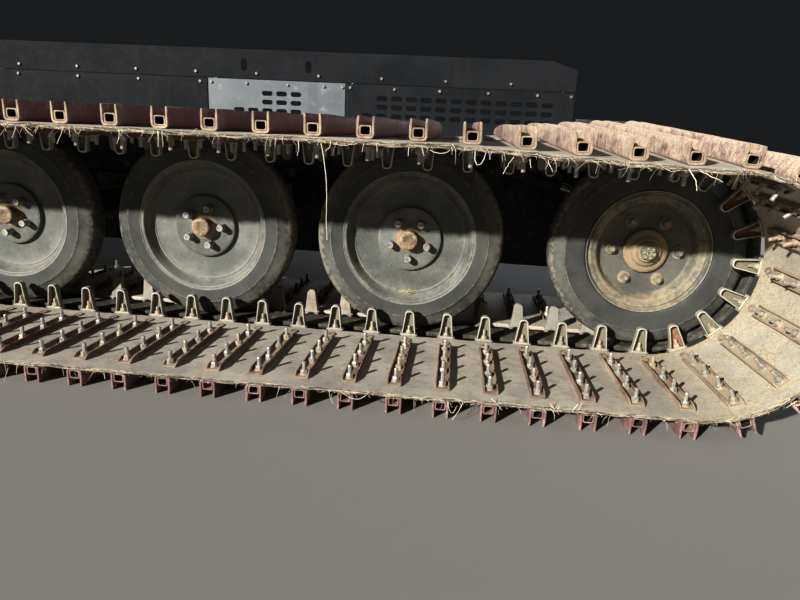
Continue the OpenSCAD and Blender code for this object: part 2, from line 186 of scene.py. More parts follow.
# ---------------------------------------------------------------- shapes
class Shape:
    """Vertices, quads and triangles, with dust, wear and a random number at each vertex."""

    def __init__(self, v, q=(), t=(), dust=0.0, wear=0.0, mat=0):
        self.v = np.asarray(v, float).reshape(-1, 3)
        self.q = np.asarray(q, np.int64).reshape(-1, 4)
        self.t = np.asarray(t, np.int64).reshape(-1, 3)
        n = len(self.v)
        self.dust = np.broadcast_to(np.asarray(dust, float), (n,)).copy()
        self.wear = np.broadcast_to(np.asarray(wear, float), (n,)).copy()
        self.rnd = np.zeros(n)
        self.loc = self.v.copy()
        self.qm = np.full(len(self.q), mat)
        self.tm = np.full(len(self.t), mat)

    def copy(self):
        o = Shape.__new__(Shape)
        for k, v in self.__dict__.items():
            setattr(o, k, v.copy())
        return o

    def moved(self, rot=None, t=(0, 0, 0), flip=False, keep_loc=True):
        o = self.copy()
        if rot is not None:
            o.v = o.v @ np.asarray(rot, float).T
        o.v = o.v + np.asarray(t, float)
        if flip:
            o.q, o.t = o.q[:, ::-1], o.t[:, ::-1]
        if not keep_loc:
            o.loc = o.v.copy()
        return o

    def out(self):
        """Turns the faces outward, for a closed shape whose faces agree."""
        tri = np.concatenate([self.t, self.q[:, [0, 1, 2]], self.q[:, [0, 2, 3]]])
        a, b, c = self.v[tri[:, 0]], self.v[tri[:, 1]], self.v[tri[:, 2]]
        if np.einsum("ij,ij->i", a, np.cross(b, c)).sum() < 0:
            self.q, self.t = self.q[:, ::-1], self.t[:, ::-1]
        return self

    def seed(self, r):
        self.rnd[:] = r
        return self


def join(parts):
    parts = [p for p in parts if p is not None]
    o = Shape(np.concatenate([p.v for p in parts]))
    off = np.cumsum([0] + [len(p.v) for p in parts])
    o.q = np.concatenate([p.q + k for p, k in zip(parts, off)])
    o.t = np.concatenate([p.t + k for p, k in zip(parts, off)])
    for name in ("dust", "wear", "rnd", "loc", "qm", "tm"):
        setattr(o, name, np.concatenate([getattr(p, name) for p in parts]))
    return o


def spread(unit, places, rnds=None):
    """Copies of a unit at (rotation, place) pairs."""
    out = []
    for k, (rot, t) in enumerate(places):
        c = unit.moved(rot, t)
        if rnds is not None:
            c.rnd[:] = rnds[k]
        out.append(c)
    return join(out)


def build(shape, name, mats, body="chassis", replaces=(), smooth=32.0, place=True):
    v = world(shape.v) if place else shape.v / 1000.0
    me = bpy.data.meshes.new(name)
    nq, nt = len(shape.q), len(shape.t)
    me.vertices.add(len(v))
    me.vertices.foreach_set("co", v.astype(np.float32).ravel())
    me.loops.add(4 * nq + 3 * nt)
    me.loops.foreach_set("vertex_index", np.concatenate([shape.q.ravel(), shape.t.ravel()]).astype(np.int32))
    me.polygons.add(nq + nt)
    starts = np.concatenate([np.arange(nq) * 4, 4 * nq + np.arange(nt) * 3])
    me.polygons.foreach_set("loop_start", starts.astype(np.int32))
    me.polygons.foreach_set("material_index", np.concatenate([shape.qm, shape.tm]).astype(np.int32))
    for mat in mats if isinstance(mats, (list, tuple)) else [mats]:
        me.materials.append(mat)
    me.update(calc_edges=True)
    me.validate()
    for key in ("dust", "wear", "rnd"):
        me.attributes.new(key, "FLOAT", "POINT").data.foreach_set("value", getattr(shape, key).astype(np.float32))
    me.attributes.new("loc", "FLOAT_VECTOR", "POINT").data.foreach_set(
        "vector", (shape.loc / 1000.0).astype(np.float32).ravel())
    me.shade_smooth()
    me.set_sharp_from_angle(angle=math.radians(smooth))
    ob = bpy.data.objects.new(name, me)
    bpy.context.scene.collection.objects.link(ob)
    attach(ob, body)
    if replaces:
        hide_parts(*replaces)
    return ob


def lathe(prof, n=64, at=(0.0, 0.0), dust=None, wear=None, mat=0, closed=False, phase=0.0):
    """Turns a profile of (radius, y) round the y axis; the solid is left of the profile's direction."""
    prof = [tuple(p) for p in prof]
    k = len(prof)
    idx, verts, du, we = [], [], [], []
    th = (np.arange(n) + phase) * 2 * math.pi / n
    for j, (r, y) in enumerate(prof):
        d = 0.0 if dust is None else (dust[j] if np.ndim(dust) else dust)
        w = 0.0 if wear is None else (wear[j] if np.ndim(wear) else wear)
        if r < 1e-6:
            idx.append(np.full(n, len(verts)))
            verts.append((at[0], y, at[1]))
            du.append(d)
            we.append(w)
        else:
            idx.append(len(verts) + np.arange(n))
            verts.extend(np.stack([at[0] + r * np.cos(th), np.full(n, y), at[1] + r * np.sin(th)], 1).tolist())
            du.extend([d] * n)
            we.extend([w] * n)
    q, t = [], []
    for j in range(k if closed else k - 1):
        a, b = idx[j], idx[(j + 1) % k]
        a2, b2 = np.roll(a, -1), np.roll(b, -1)
        if prof[j][0] < 1e-6 and prof[(j + 1) % k][0] < 1e-6:
            continue
        if prof[j][0] < 1e-6:
            t.append(np.stack([a, b, b2], 1))
        elif prof[(j + 1) % k][0] < 1e-6:
            t.append(np.stack([a, b, a2], 1))
        else:
            q.append(np.stack([a, b, b2, a2], 1))
    s = Shape(verts, np.concatenate(q) if q else (), np.concatenate(t) if t else (), du, we, mat)
    return s


def inset(loop, d):
    """Moves a loop's corners by d to the left of its direction."""
    p = np.asarray(loop, float)
    a, b = np.roll(p, 1, 0), np.roll(p, -1, 0)

    def left(e):
        e = e / np.maximum(np.linalg.norm(e, axis=1, keepdims=True), 1e-9)
        return np.stack([-e[:, 1], e[:, 0]], 1)

    n1, n2 = left(p - a), left(b - p)
    s = n1 + n2
    s /= np.maximum((s * n1).sum(1, keepdims=True), 0.35)
    return p + s * d


def area(loop):
    p = np.asarray(loop, float)
    q = np.roll(p, -1, 0)
    return 0.5 * (p[:, 0] * q[:, 1] - q[:, 0] * p[:, 1]).sum()


def cap_tris(loops, base, up):
    """Triangles over an outline and its holes; up tells which way they face along y."""
    pts = [[Vector((x, z, 0.0)) for x, z in lp] for lp in loops]
    flat = np.concatenate([np.asarray(lp, float) for lp in loops])
    tris = np.array([list(t) for t in tessellate_polygon(pts)], np.int64).reshape(-1, 3)
    a, b, c = flat[tris[:, 0]], flat[tris[:, 1]], flat[tris[:, 2]]
    s = (b[:, 0] - a[:, 0]) * (c[:, 1] - a[:, 1]) - (c[:, 0] - a[:, 0]) * (b[:, 1] - a[:, 1])
    tris[s < 0] = tris[s < 0][:, ::-1]
    # in the x, z plane an anticlockwise triangle faces -y
    if up:
        tris = tris[:, ::-1]
    return tris + base


def extrude(outer, y0, y1, holes=(), bevel=0.0, ys=None, dust=0.0, wear=0.0, mat=0, edge_wear=0.0):
    """A profile in x and z from y0 to y1, its end edges bevelled."""
    loops = [np.asarray(outer, float)] + [np.asarray(h, float) for h in holes]
    loops = [lp if (area(lp) > 0) == (k == 0) else lp[::-1] for k, lp in enumerate(loops)]
    if ys is None:
        ys = [y0, y1]
    rows = [(y, 0.0) for y in ys]
    if bevel > 0:
        rows = [(y0, bevel), (y0 + bevel, 0.0)] + [(y, 0.0) for y in ys[1:-1]] + [(y1 - bevel, 0.0), (y1, bevel)]
    verts, we = [], []
    count = sum(len(lp) for lp in loops)
    for k, (y, d) in enumerate(rows):
        for lp in loops:
            p = inset(lp, d) if d else lp
            verts.append(np.stack([p[:, 0], np.full(len(p), y), p[:, 1]], 1))
        we.append(np.full(count, edge_wear if k in (0, len(rows) - 1) or (bevel and k in (1, len(rows) - 2)) else wear))
    q = []
    off = 0
    for lp in loops:
        n = len(lp)
        i = np.arange(n)
        j = (i + 1) % n
        for k in range(len(rows) - 1):
            a, b = k * count + off, (k + 1) * count + off
            q.append(np.stack([a + i, b + i, b + j, a + j], 1))
        off += n
    first = [inset(lp, rows[0][1]) if rows[0][1] else lp for lp in loops]
    t0 = cap_tris(first, 0, False)
    t1 = cap_tris(first, (len(rows) - 1) * count, True)
    return Shape(np.concatenate(verts), np.concatenate(q), np.concatenate([t0, t1]), dust, np.concatenate(we), mat)


def loft(loops, ys, dust=0.0, wear=0.0, mat=0):
    """Closed skin through loops of one length in x and z, at the given y, capped at both ends."""
    loops = [np.asarray(lp, float) for lp in loops]
    n = len(loops[0])
    verts = [np.stack([lp[:, 0], np.full(n, y), lp[:, 1]], 1) for lp, y in zip(loops, ys)]
    i = np.arange(n)
    j = (i + 1) % n
    q = [np.stack([k * n + i, (k + 1) * n + i, (k + 1) * n + j, k * n + j], 1) for k in range(len(loops) - 1)]
    t0 = cap_tris([loops[0]], 0, False)
    t1 = cap_tris([loops[-1]], (len(loops) - 1) * n, True)
    if area(loops[0]) < 0:
        t0 = t0[:, ::-1]
    if area(loops[-1]) < 0:
        t1 = t1[:, ::-1]
    w = np.repeat(np.asarray(wear, float), n) if np.ndim(wear) else wear
    d = np.repeat(np.asarray(dust, float), n) if np.ndim(dust) else dust
    return Shape(np.concatenate(verts), np.concatenate(q), np.concatenate([t0, t1]), d, w, mat)


def rrect(x0, x1, z0, z1, r, seg=4):
    pts = []
    for cx, cz, a in ((x1 - r, z0 + r, -90), (x1 - r, z1 - r, 0), (x0 + r, z1 - r, 90), (x0 + r, z0 + r, 180)):
        for k in range(seg + 1):
            pts.append((cx + r * cd(a + 90 * k / seg), cz + r * sd(a + 90 * k / seg)))
    return pts


def ring(x, z, r, n=32):
    return [(x + r * cd(360 * k / n), z + r * sd(360 * k / n)) for k in range(n)]


def box(x0, x1, y0, y1, z0, z1, r=3.0, seg=2, **kw):
    return extrude(rrect(x0, x1, z0, z1, r, seg), y0, y1, bevel=min(r, 2.5) * 0.8, **kw)


RX90 = np.array([[1, 0, 0], [0, 0, -1], [0, 1, 0]], float)      # y -> z
RXM90 = np.array([[1, 0, 0], [0, 0, 1], [0, -1, 0]], float)     # y -> -z
RZ90 = np.array([[0, -1, 0], [1, 0, 0], [0, 0, 1]], float)      # x -> y
RZM90 = np.array([[0, 1, 0], [-1, 0, 0], [0, 0, 1]], float)     # y -> x


def rot_y(a):
    return np.array([[cd(a), 0, sd(a)], [0, 1, 0], [-sd(a), 0, cd(a)]])


def rot_x(a):
    return np.array([[1, 0, 0], [0, cd(a), -sd(a)], [0, sd(a), cd(a)]])


def rot_z(a):
    return np.array([[cd(a), -sd(a), 0], [sd(a), cd(a), 0], [0, 0, 1]])


def hexagon(af, y0, y1, chamfer=1.2, wear=0.2, dust=0.0, mat=0, phase=0.0):
    """A hexagonal prism along y with its far corners turned down."""
    r = af / math.sqrt(3)
    out = []
    for k in range(12):
        a = phase + 30 * k
        rr = r if k % 2 == 0 else af / 2
        out.append((rr * cd(a), rr * sd(a), k % 2 == 0))
    top = [(x * (0.93 if c else 0.97), z * (0.93 if c else 0.97)) for x, z, c in out]
    v = [(x, y0, z) for x, z, c in out]
    v += [(x, y1 - (chamfer if c else chamfer * 0.35), z) for x, z, c in out]
    v += [(x, y1, z) for x, z in top] + [(0, y1, 0), (0, y0, 0)]
    q, t = [], []
    for k in range(12):
        j = (k + 1) % 12
        q += [(k, 12 + k, 12 + j, j), (12 + k, 24 + k, 24 + j, 12 + j)]
        t += [(24 + k, 36, 24 + j), (j, 37, k)]
    w = [0.1] * 12 + [wear] * 24 + [wear * 0.6, 0]
    return Shape(v, q, t, dust, w, mat).out()


def tube(paths, radii, sides=4, dust=0.0, wear=0.0, mat=0, rnd=None):
    """Thin tubes along many paths of one length: paths (f, k, 3), radii (f, k)."""
    paths = np.asarray(paths, float)
    f, k, _ = paths.shape
    d = np.gradient(paths, axis=1)
    d /= np.maximum(np.linalg.norm(d, axis=2, keepdims=True), 1e-9)
    ref = np.broadcast_to(np.array([0.31, 0.87, 0.38]), d.shape)
    a = np.cross(d, ref)
    a /= np.maximum(np.linalg.norm(a, axis=2, keepdims=True), 1e-6)
    b = np.cross(d, a)
    th = np.arange(sides) * 2 * math.pi / sides
    v = paths[:, :, None, :] + np.asarray(radii, float)[:, :, None, None] * (
        a[:, :, None, :] * np.cos(th)[None, None, :, None] + b[:, :, None, :] * np.sin(th)[None, None, :, None])
    base = (np.arange(f) * k * sides)[:, None, None]
    i, j = np.arange(k - 1)[None, :, None], np.arange(sides)[None, None, :]
    j2 = (j + 1) % sides
    q = np.stack([base + i * sides + j, base + (i + 1) * sides + j, base + (i + 1) * sides + j2, base + i * sides + j2], -1)
    ends = []
    b2 = np.arange(f) * k * sides
    for m_ in range(1, sides - 1):
        ends.append(np.stack([b2, b2 + m_, b2 + m_ + 1], 1))
        e = b2 + (k - 1) * sides
        ends.append(np.stack([e, e + m_ + 1, e + m_], 1))
    s = Shape(v.reshape(-1, 3), q.reshape(-1, 4), np.concatenate(ends), dust, wear, mat)
    if rnd is not None:
        s.rnd = np.repeat(np.asarray(rnd, float), k * sides)
    return s


def wobble(seed, low, high, count=48):
    """A smooth random curve round the whole loop, about -1 to 1."""
    g = np.random.default_rng(seed)
    ks = g.integers(low, high, count)
    ph = g.uniform(0, 2 * math.pi, count)
    am = g.uniform(0.5, 1.0, count)
    am = am / math.sqrt((am ** 2).sum() / 2) * 0.5

    def f(s):
        s = np.asarray(s, float)
        return (am[:, None] * np.sin(2 * math.pi * ks[:, None] * s.ravel()[None, :] / LOOP + ph[:, None])).sum(0).reshape(s.shape)
    return f


def smooth(a, b, x):
    t = np.clip((np.asarray(x, float) - a) / (b - a), 0, 1)
    return t * t * (3 - 2 * t)


# ---------------------------------------------------------------- materials
class Mat:
    """A node material, built with short calls."""

    def __init__(self, name):
        self.m = bpy.data.materials.new(name)
        self.m.use_nodes = True
        self.nt = self.m.node_tree
        self.nt.nodes.clear()
        self.out = self.node("ShaderNodeOutputMaterial")
        self.bsdf = self.node("ShaderNodeBsdfPrincipled")
        self.nt.links.new(self.bsdf.outputs["BSDF"], self.out.inputs["Surface"])
        self.loc = self.attr("loc", "Vector")
        self.rnd = self.attr("rnd", "Fac")
        shift = self.vmath("MULTIPLY", self.comb(self.rnd, self.rnd, self.rnd), (7.13, 3.71, 5.37))
        self.vec = self.vmath("ADD", self.loc, shift)

    def node(self, kind, **kw):
        n = self.nt.nodes.new(kind)
        for k, v in kw.items():
            setattr(n, k, v)
        return n

    def put(self, socket, value):
        if isinstance(value, bpy.types.NodeSocket):
            self.nt.links.new(value, socket)
        elif isinstance(value, (tuple, list)) and len(value) == 3 and len(socket.default_value) == 4:
            socket.default_value = (*value, 1.0)
        else:
            socket.default_value = value

    def attr(self, name, out):
        return self.node("ShaderNodeAttribute", attribute_name=name).outputs[out]

    def math(self, op, a, b=0.0, clamp=False):
        n = self.node("ShaderNodeMath", operation=op, use_clamp=clamp)
        self.put(n.inputs[0], a)
        self.put(n.inputs[1], b)
        return n.outputs[0]

    def vmath(self, op, a, b):
        n = self.node("ShaderNodeVectorMath", operation=op)
        self.put(n.inputs[0], a)
        self.put(n.inputs[1], b)
        return n.outputs[0]

    def comb(self, x, y, z):
        n = self.node("ShaderNodeCombineXYZ")
        for k, v in enumerate((x, y, z)):
            self.put(n.inputs[k], v)
        return n.outputs[0]

    def split(self, v):
        n = self.node("ShaderNodeSeparateXYZ")
        self.put(n.inputs[0], v)
        return n.outputs

    def noise(self, scale, detail=4.0, rough=0.55, dist=0.0, vec=None, stretch=None):
        v = self.vec if vec is None else vec
        if stretch:
            v = self.vmath("MULTIPLY", v, stretch)
        n = self.node("ShaderNodeTexNoise")
        self.put(n.inputs["Vector"], v)
        self.put(n.inputs["Scale"], scale)
        self.put(n.inputs["Detail"], detail)
        self.put(n.inputs["Roughness"], rough)
        self.put(n.inputs["Distortion"], dist)
        return n.outputs["Fac"]

    def cells(self, scale, vec=None, feature="F1", out="Distance", stretch=None):
        v = self.vec if vec is None else vec
        if stretch:
            v = self.vmath("MULTIPLY", v, stretch)
        n = self.node("ShaderNodeTexVoronoi", feature=feature)
        self.put(n.inputs["Vector"], v)
        self.put(n.inputs["Scale"], scale)
        return n.outputs[out]

    def span(self, v, a, b, c=0.0, d=1.0, smooth=False):
        n = self.node("ShaderNodeMapRange", clamp=True)
        if smooth:
            n.interpolation_type = "SMOOTHSTEP"
        for k, x in enumerate((v, a, b, c, d)):
            self.put(n.inputs[k], x)
        return n.outputs[0]

    def mix(self, fac, a, b, blend="MIX"):
        n = self.node("ShaderNodeMix", data_type="RGBA", blend_type=blend)
        self.put(n.inputs[0], fac)
        self.put(n.inputs[6], a)
        self.put(n.inputs[7], b)
        return n.outputs[2]

    def fmix(self, fac, a, b):
        n = self.node("ShaderNodeMix", data_type="FLOAT")
        self.put(n.inputs[0], fac)
        self.put(n.inputs[2], a)
        self.put(n.inputs[3], b)
        return n.outputs[0]

    def up(self):
        return self.split(self.node("ShaderNodeNewGeometry").outputs["Normal"])[2]

    def bump(self, height, strength, dist, normal=None):
        n = self.node("ShaderNodeBump")
        self.put(n.inputs["Height"], height)
        self.put(n.inputs["Strength"], strength)
        self.put(n.inputs["Distance"], dist)
        if normal is not None:
            self.put(n.inputs["Normal"], normal)
        return n.outputs[0]

    def finish(self, colour, rough, normal=None, metal=0.0, spec=0.5):
        self.put(self.bsdf.inputs["Base Color"], colour)
        self.put(self.bsdf.inputs["Roughness"], rough)
        self.put(self.bsdf.inputs["Metallic"], metal)
        self.bsdf.inputs["Specular IOR Level"].default_value = spec
        if normal is not None:
            self.put(self.bsdf.inputs["Normal"], normal)
        return self.m


def weathered(name, base, base2, dirt, dust, worn, rough=0.6, rough_dust=0.92, metal=0.0, spec=0.5, patch=7.0, fine=60.0,
              grain=420.0, dust_amt=1.0, dust_bias=0.0, up_amt=0.55, patch_amt=0.6, worn_amt=1.0, relief=0.5, rust=None,
              rust_amt=0.0, stretch=None, streak=0.0, dist=0.0012):
    """Paint, steel or rubber with patches, dirt, dust on what faces up, worn edges and a rusty part."""
    k = Mat(name)
    big = k.noise(patch, 5, 0.6, stretch=stretch)
    mid = k.noise(fine, 6, 0.62, stretch=stretch)
    tiny = k.noise(grain, 3, 0.6)
    colour = k.mix(k.span(big, 0.35, 0.65, smooth=True), base, base2)
    colour = k.mix(k.span(mid, 0.55, 0.75, 0, patch_amt), colour, dirt)
    if streak:
        st = k.noise(30.0, 3, 0.6, vec=k.vec, stretch=(1.0, 1.0, 0.06))
        colour = k.mix(k.span(st, 0.55, 0.72, 0, streak), colour, dirt)
    if rust is not None:
        rn = k.noise(patch * 2.3, 6, 0.68, 0.4)
        rf = k.span(k.math("ADD", rn, k.math("MULTIPLY", k.attr("wear", "Fac"), 0.14)), 0.66 - rust_amt, 0.74 - rust_amt * 0.9, smooth=True)
        tone = k.mix(mid, rust, tuple(c * 1.7 for c in rust))
        colour = k.mix(rf, colour, tone)
    upn = k.span(k.up(), 0.15, 0.95, 0, up_amt)
    dm = k.math("ADD", k.math("MULTIPLY", k.attr("dust", "Fac"), dust_amt), upn)
    dm = k.math("ADD", dm, dust_bias)
    dm = k.math("ADD", dm, k.math("MULTIPLY", k.math("SUBTRACT", big, 0.5), 1.3))
    dm = k.math("ADD", dm, k.math("MULTIPLY", k.math("SUBTRACT", mid, 0.5), 1.1))
    dmask = k.span(dm, 0.12, 0.95, 0, 0.93, smooth=True)
    dcol = k.mix(tiny, tuple(c * 0.78 for c in dust), tuple(min(1, c * 1.22) for c in dust))
    colour = k.mix(dmask, colour, dcol)
    wm = k.math("ADD", k.math("MULTIPLY", k.attr("wear", "Fac"), worn_amt), k.math("MULTIPLY", k.math("SUBTRACT", mid, 0.5), 1.2))
    wmask = k.span(wm, 0.38, 0.72, 0, 0.9, smooth=True)
    wcol = k.mix(mid, tuple(c * 0.8 for c in worn), tuple(min(1, c * 1.15) for c in worn))
    colour = k.mix(wmask, colour, wcol)
    r = k.fmix(dmask, k.span(mid, 0.3, 0.7, rough - 0.08, rough + 0.1), rough_dust)
    h = k.math("ADD", k.math("MULTIPLY", mid, 0.6), k.math("MULTIPLY", tiny, k.fmix(dmask, 0.16, 0.42)))
    nrm = k.bump(h, relief, dist)
    mt = metal
    if metal:
        mt = k.math("MULTIPLY", k.math("SUBTRACT", 1.0, dmask), metal)
    return k.finish(colour, r, nrm, mt, spec)


def belt_material(name="belt_rubber", lane=False):
    k = Mat(name)
    s = k.split(k.loc)
    edge = k.attr("wear", "Fac")
    dust = k.attr("dust", "Fac")
    big = k.noise(5.0, 5, 0.6)
    mid = k.noise(38.0, 6, 0.65)
    fine = k.noise(240.0, 4, 0.7)
    tiny = k.noise(1100.0, 2, 0.6)
    colour = k.mix(k.span(big, 0.35, 0.66, smooth=True), (0.385, 0.366, 0.322), (0.515, 0.486, 0.425))
    colour = k.mix(k.span(mid, 0.5, 0.72, 0, 0.6), colour, (0.20, 0.194, 0.165))
    # scuffs along the travel and across it
    scuff = k.noise(26.0, 4, 0.7, vec=k.comb(s[0], k.math("MULTIPLY", s[1], 9.0), s[2]))
    colour = k.mix(k.span(scuff, 0.58, 0.74, 0, 0.38), colour, (0.60, 0.57, 0.48))
    cross = k.noise(20.0, 4, 0.7, vec=k.comb(k.math("MULTIPLY", s[0], 8.0), s[1], s[2]))
    colour = k.mix(k.span(cross, 0.60, 0.76, 0, 0.3), colour, (0.50, 0.46, 0.36))
    colour = k.mix(k.span(fine, 0.48, 0.30, 0, 0.55), colour, (0.16, 0.155, 0.13))
    colour = k.mix(k.span(tiny, 0.58, 0.72, 0, 0.35), colour, (0.66, 0.63, 0.54))
    if lane:
        # the middle belt is darkened: partly the clean rubber the wheels keep smooth, partly painted shade from the
        # guides and wheels over it
        colour = k.mix(k.span(mid, 0.35, 0.7), (0.050, 0.048, 0.043), (0.115, 0.108, 0.090))
        dust = k.math("MULTIPLY", dust, 0.35)
    dm = k.math("ADD", dust, k.math("MULTIPLY", k.math("SUBTRACT", mid, 0.5), 1.5))
    dm = k.math("ADD", dm, k.math("MULTIPLY", k.math("SUBTRACT", fine, 0.5), 0.8))
    dm = k.math("ADD", dm, k.math("MULTIPLY", k.math("SUBTRACT", big, 0.5), 0.8))
    dmask = k.span(dm, 0.1, 0.9, 0, 0.9, smooth=True)
    tan = k.mix(k.span(fine, 0.32, 0.68), (0.22, 0.185, 0.13), (0.66, 0.585, 0.44))
    colour = k.mix(dmask, colour, tan)
    grit = k.span(k.cells(330.0), 0.0, 0.32, 1, 0)
    gm = k.math("MULTIPLY", grit, k.span(k.math("ADD", dm, k.math("MULTIPLY", k.noise(9.0, 3), 0.6)), 0.45, 0.95))
    colour = k.mix(gm, colour, k.mix(tiny, (0.26, 0.23, 0.17), (0.74, 0.68, 0.56)))
    # torn edge: pale cords between the covers, and strands along it
    ply = k.noise(90.0, 4, 0.75, vec=k.comb(k.math("MULTIPLY", s[0], 0.35), s[1], k.math("MULTIPLY", s[2], 6.0)))
    em = k.span(k.math("ADD", edge, k.math("MULTIPLY", k.math("SUBTRACT", fine, 0.5), 0.9)), 0.35, 0.75, smooth=True)
    torn = k.noise(210.0, 5, 0.75, vec=k.comb(k.math("MULTIPLY", s[0], 0.30), s[1], k.math("MULTIPLY", s[2], 4.0)))
    ecol = k.mix(k.span(ply, 0.46, 0.56), (0.045, 0.036, 0.026), (0.46, 0.40, 0.31))
    ecol = k.mix(k.span(torn, 0.52, 0.60, 0, 0.85), ecol, (0.050, 0.038, 0.028))
    colour = k.mix(em, colour, ecol)
    h = k.math("ADD", k.math("MULTIPLY", mid, 0.5), k.math("MULTIPLY", fine, 0.35))
    h = k.math("ADD", h, k.math("MULTIPLY", gm, 0.5))
    h = k.math("ADD", h, k.math("MULTIPLY", k.math("MULTIPLY", ply, em), 1.2))
    return k.finish(colour, k.fmix(dmask, 0.72, 0.95), k.bump(h, 0.55, 0.0016), 0.0, 0.35)


def fibre_material():
    k = Mat("belt_threads")
    n = k.noise(60.0, 3)
    colour = k.mix(k.span(n, 0.3, 0.7), (0.60, 0.53, 0.40), (0.86, 0.81, 0.70))
    colour = k.mix(k.span(k.rnd, 0.55, 1.0, 0, 0.55), colour, (0.30, 0.25, 0.17))
    return k.finish(colour, 0.85, k.bump(k.noise(900.0, 2), 0.5, 0.0006), 0.0, 0.3)


def bolt_material():
    k = Mat("bolt_zinc")
    mid = k.noise(160.0, 5, 0.65)
    fine = k.noise(700.0, 3)
    zinc = k.mix(k.span(mid, 0.35, 0.65), (0.25, 0.245, 0.22), (0.44, 0.425, 0.385))
    rusty = k.mix(k.span(mid, 0.35, 0.65), (0.16, 0.095, 0.062), (0.29, 0.195, 0.135))
    pick = k.math("ADD", k.math("MULTIPLY", k.rnd, 1.0), k.math("MULTIPLY", k.math("SUBTRACT", mid, 0.5), 0.7))
    rm = k.span(pick, 0.74, 0.86, smooth=True)
    colour = k.mix(rm, zinc, rusty)
    dm = k.span(k.math("ADD", k.attr("dust", "Fac"), k.math("ADD", k.math("MULTIPLY", k.math("SUBTRACT", mid, 0.5), 1.4), k.math("MULTIPLY", k.rnd, 0.62))), 0.22, 0.75, 0, 0.90, smooth=True)
    colour = k.mix(dm, colour, k.mix(fine, (0.33, 0.265, 0.175), (0.52, 0.44, 0.32)))
    metal = k.math("MULTIPLY", k.math("SUBTRACT", 1.0, k.math("MAXIMUM", rm, dm)), 0.35)
    return k.finish(colour, k.fmix(k.math("MAXIMUM", rm, dm), 0.42, 0.88), k.bump(k.math("ADD", mid, k.math("MULTIPLY", fine, 0.3)), 0.35, 0.0007), metal, 0.5)


def guide_material():
    """Worn cream-grey sheet; inside it dull olive or, on some, rusty."""
    k = Mat("guide_steel")
    big = k.noise(16.0, 4, 0.6)
    mid = k.noise(90.0, 6, 0.66)
    fine = k.noise(620.0, 3)
    inner = k.span(k.attr("dust", "Fac"), 0.4, 0.6)
    rim = k.attr("wear", "Fac")
    skin = k.mix(k.span(big, 0.35, 0.65), (0.235, 0.228, 0.19), (0.36, 0.345, 0.295))
    skin = k.mix(k.span(mid, 0.52, 0.7, 0, 0.6), skin, (0.22, 0.18, 0.13))
    olive = k.mix(mid, (0.115, 0.11, 0.075), (0.27, 0.25, 0.175))
    rust = k.mix(k.span(mid, 0.3, 0.7), (0.17, 0.080, 0.050), (0.34, 0.195, 0.125))
    pick = k.math("ADD", k.math("MULTIPLY", k.rnd, 1.0), k.math("MULTIPLY", k.math("SUBTRACT", big, 0.5), 1.6))
    inside = k.mix(k.span(pick, 0.62, 0.9, smooth=True), olive, rust)
    colour = k.mix(inner, skin, inside)
    rustpick = k.span(k.math("ADD", k.noise(30.0, 5, 0.7), k.math("MULTIPLY", k.rnd, 0.16)), 0.66, 0.76, 0, 0.6, smooth=True)
    colour = k.mix(rustpick, colour, k.mix(mid, (0.17, 0.105, 0.07), (0.32, 0.22, 0.15)))
    wm = k.span(k.math("ADD", rim, k.math("MULTIPLY", k.math("SUBTRACT", mid, 0.5), 0.9)), 0.42, 0.7, 0, 0.95, smooth=True)
    colour = k.mix(wm, colour, k.mix(mid, (0.36, 0.35, 0.305), (0.62, 0.605, 0.545)))
    h = k.math("ADD", k.math("MULTIPLY", mid, 0.6), k.math("MULTIPLY", fine, 0.25))
    return k.finish(colour, k.fmix(wm, 0.78, 0.5), k.bump(h, 0.4, 0.001), k.math("MULTIPLY", wm, 0.25), 0.5)


def tyre_material():
    """Dusty grey solid rubber: scuffed tread, moulded side, pale marks."""
    k = Mat("tyre_rubber")
    big = k.noise(9.0, 5, 0.6)
    mid = k.noise(70.0, 6, 0.66)
    fine = k.noise(420.0, 3, 0.65)
    rub = k.mix(k.span(big, 0.35, 0.65), (0.046, 0.049, 0.047), (0.076, 0.079, 0.074))
    rub = k.mix(k.span(mid, 0.55, 0.72, 0, 0.5), rub, (0.030, 0.031, 0.031))
    dm = k.math("ADD", k.attr("dust", "Fac"), k.math("MULTIPLY", k.math("SUBTRACT", big, 0.5), 1.2))
    dm = k.math("ADD", dm, k.math("MULTIPLY", k.math("SUBTRACT", mid, 0.5), 1.2))
    dm = k.math("ADD", dm, k.span(k.up(), 0.2, 1.0, 0, 0.15))
    dmask = k.span(dm, 0.2, 1.15, 0, 0.75, smooth=True)
    colour = k.mix(dmask, rub, k.mix(fine, (0.12, 0.12, 0.106), (0.235, 0.232, 0.20)))
    nick = k.span(k.noise(150.0, 5, 0.8, 0.6), 0.66, 0.74, 0, 0.6)
    colour = k.mix(nick, colour, (0.24, 0.235, 0.205))
    # pale scuffs; on the side's crease the same mask is also a painted highlight
    wm = k.span(k.math("ADD", k.attr("wear", "Fac"), k.math("MULTIPLY", k.math("SUBTRACT", mid, 0.5), 1.4)), 0.5, 0.85, 0, 0.7, smooth=True)
    colour = k.mix(wm, colour, k.mix(fine, (0.19, 0.165, 0.125), (0.34, 0.31, 0.25)))
    h = k.math("ADD", k.math("MULTIPLY", mid, 0.5), k.math("MULTIPLY", fine, k.fmix(wm, 0.12, 0.7)))
    return k.finish(colour, k.fmix(dmask, 0.66, 0.9), k.bump(h, 0.45, 0.0013), 0.0, 0.4)


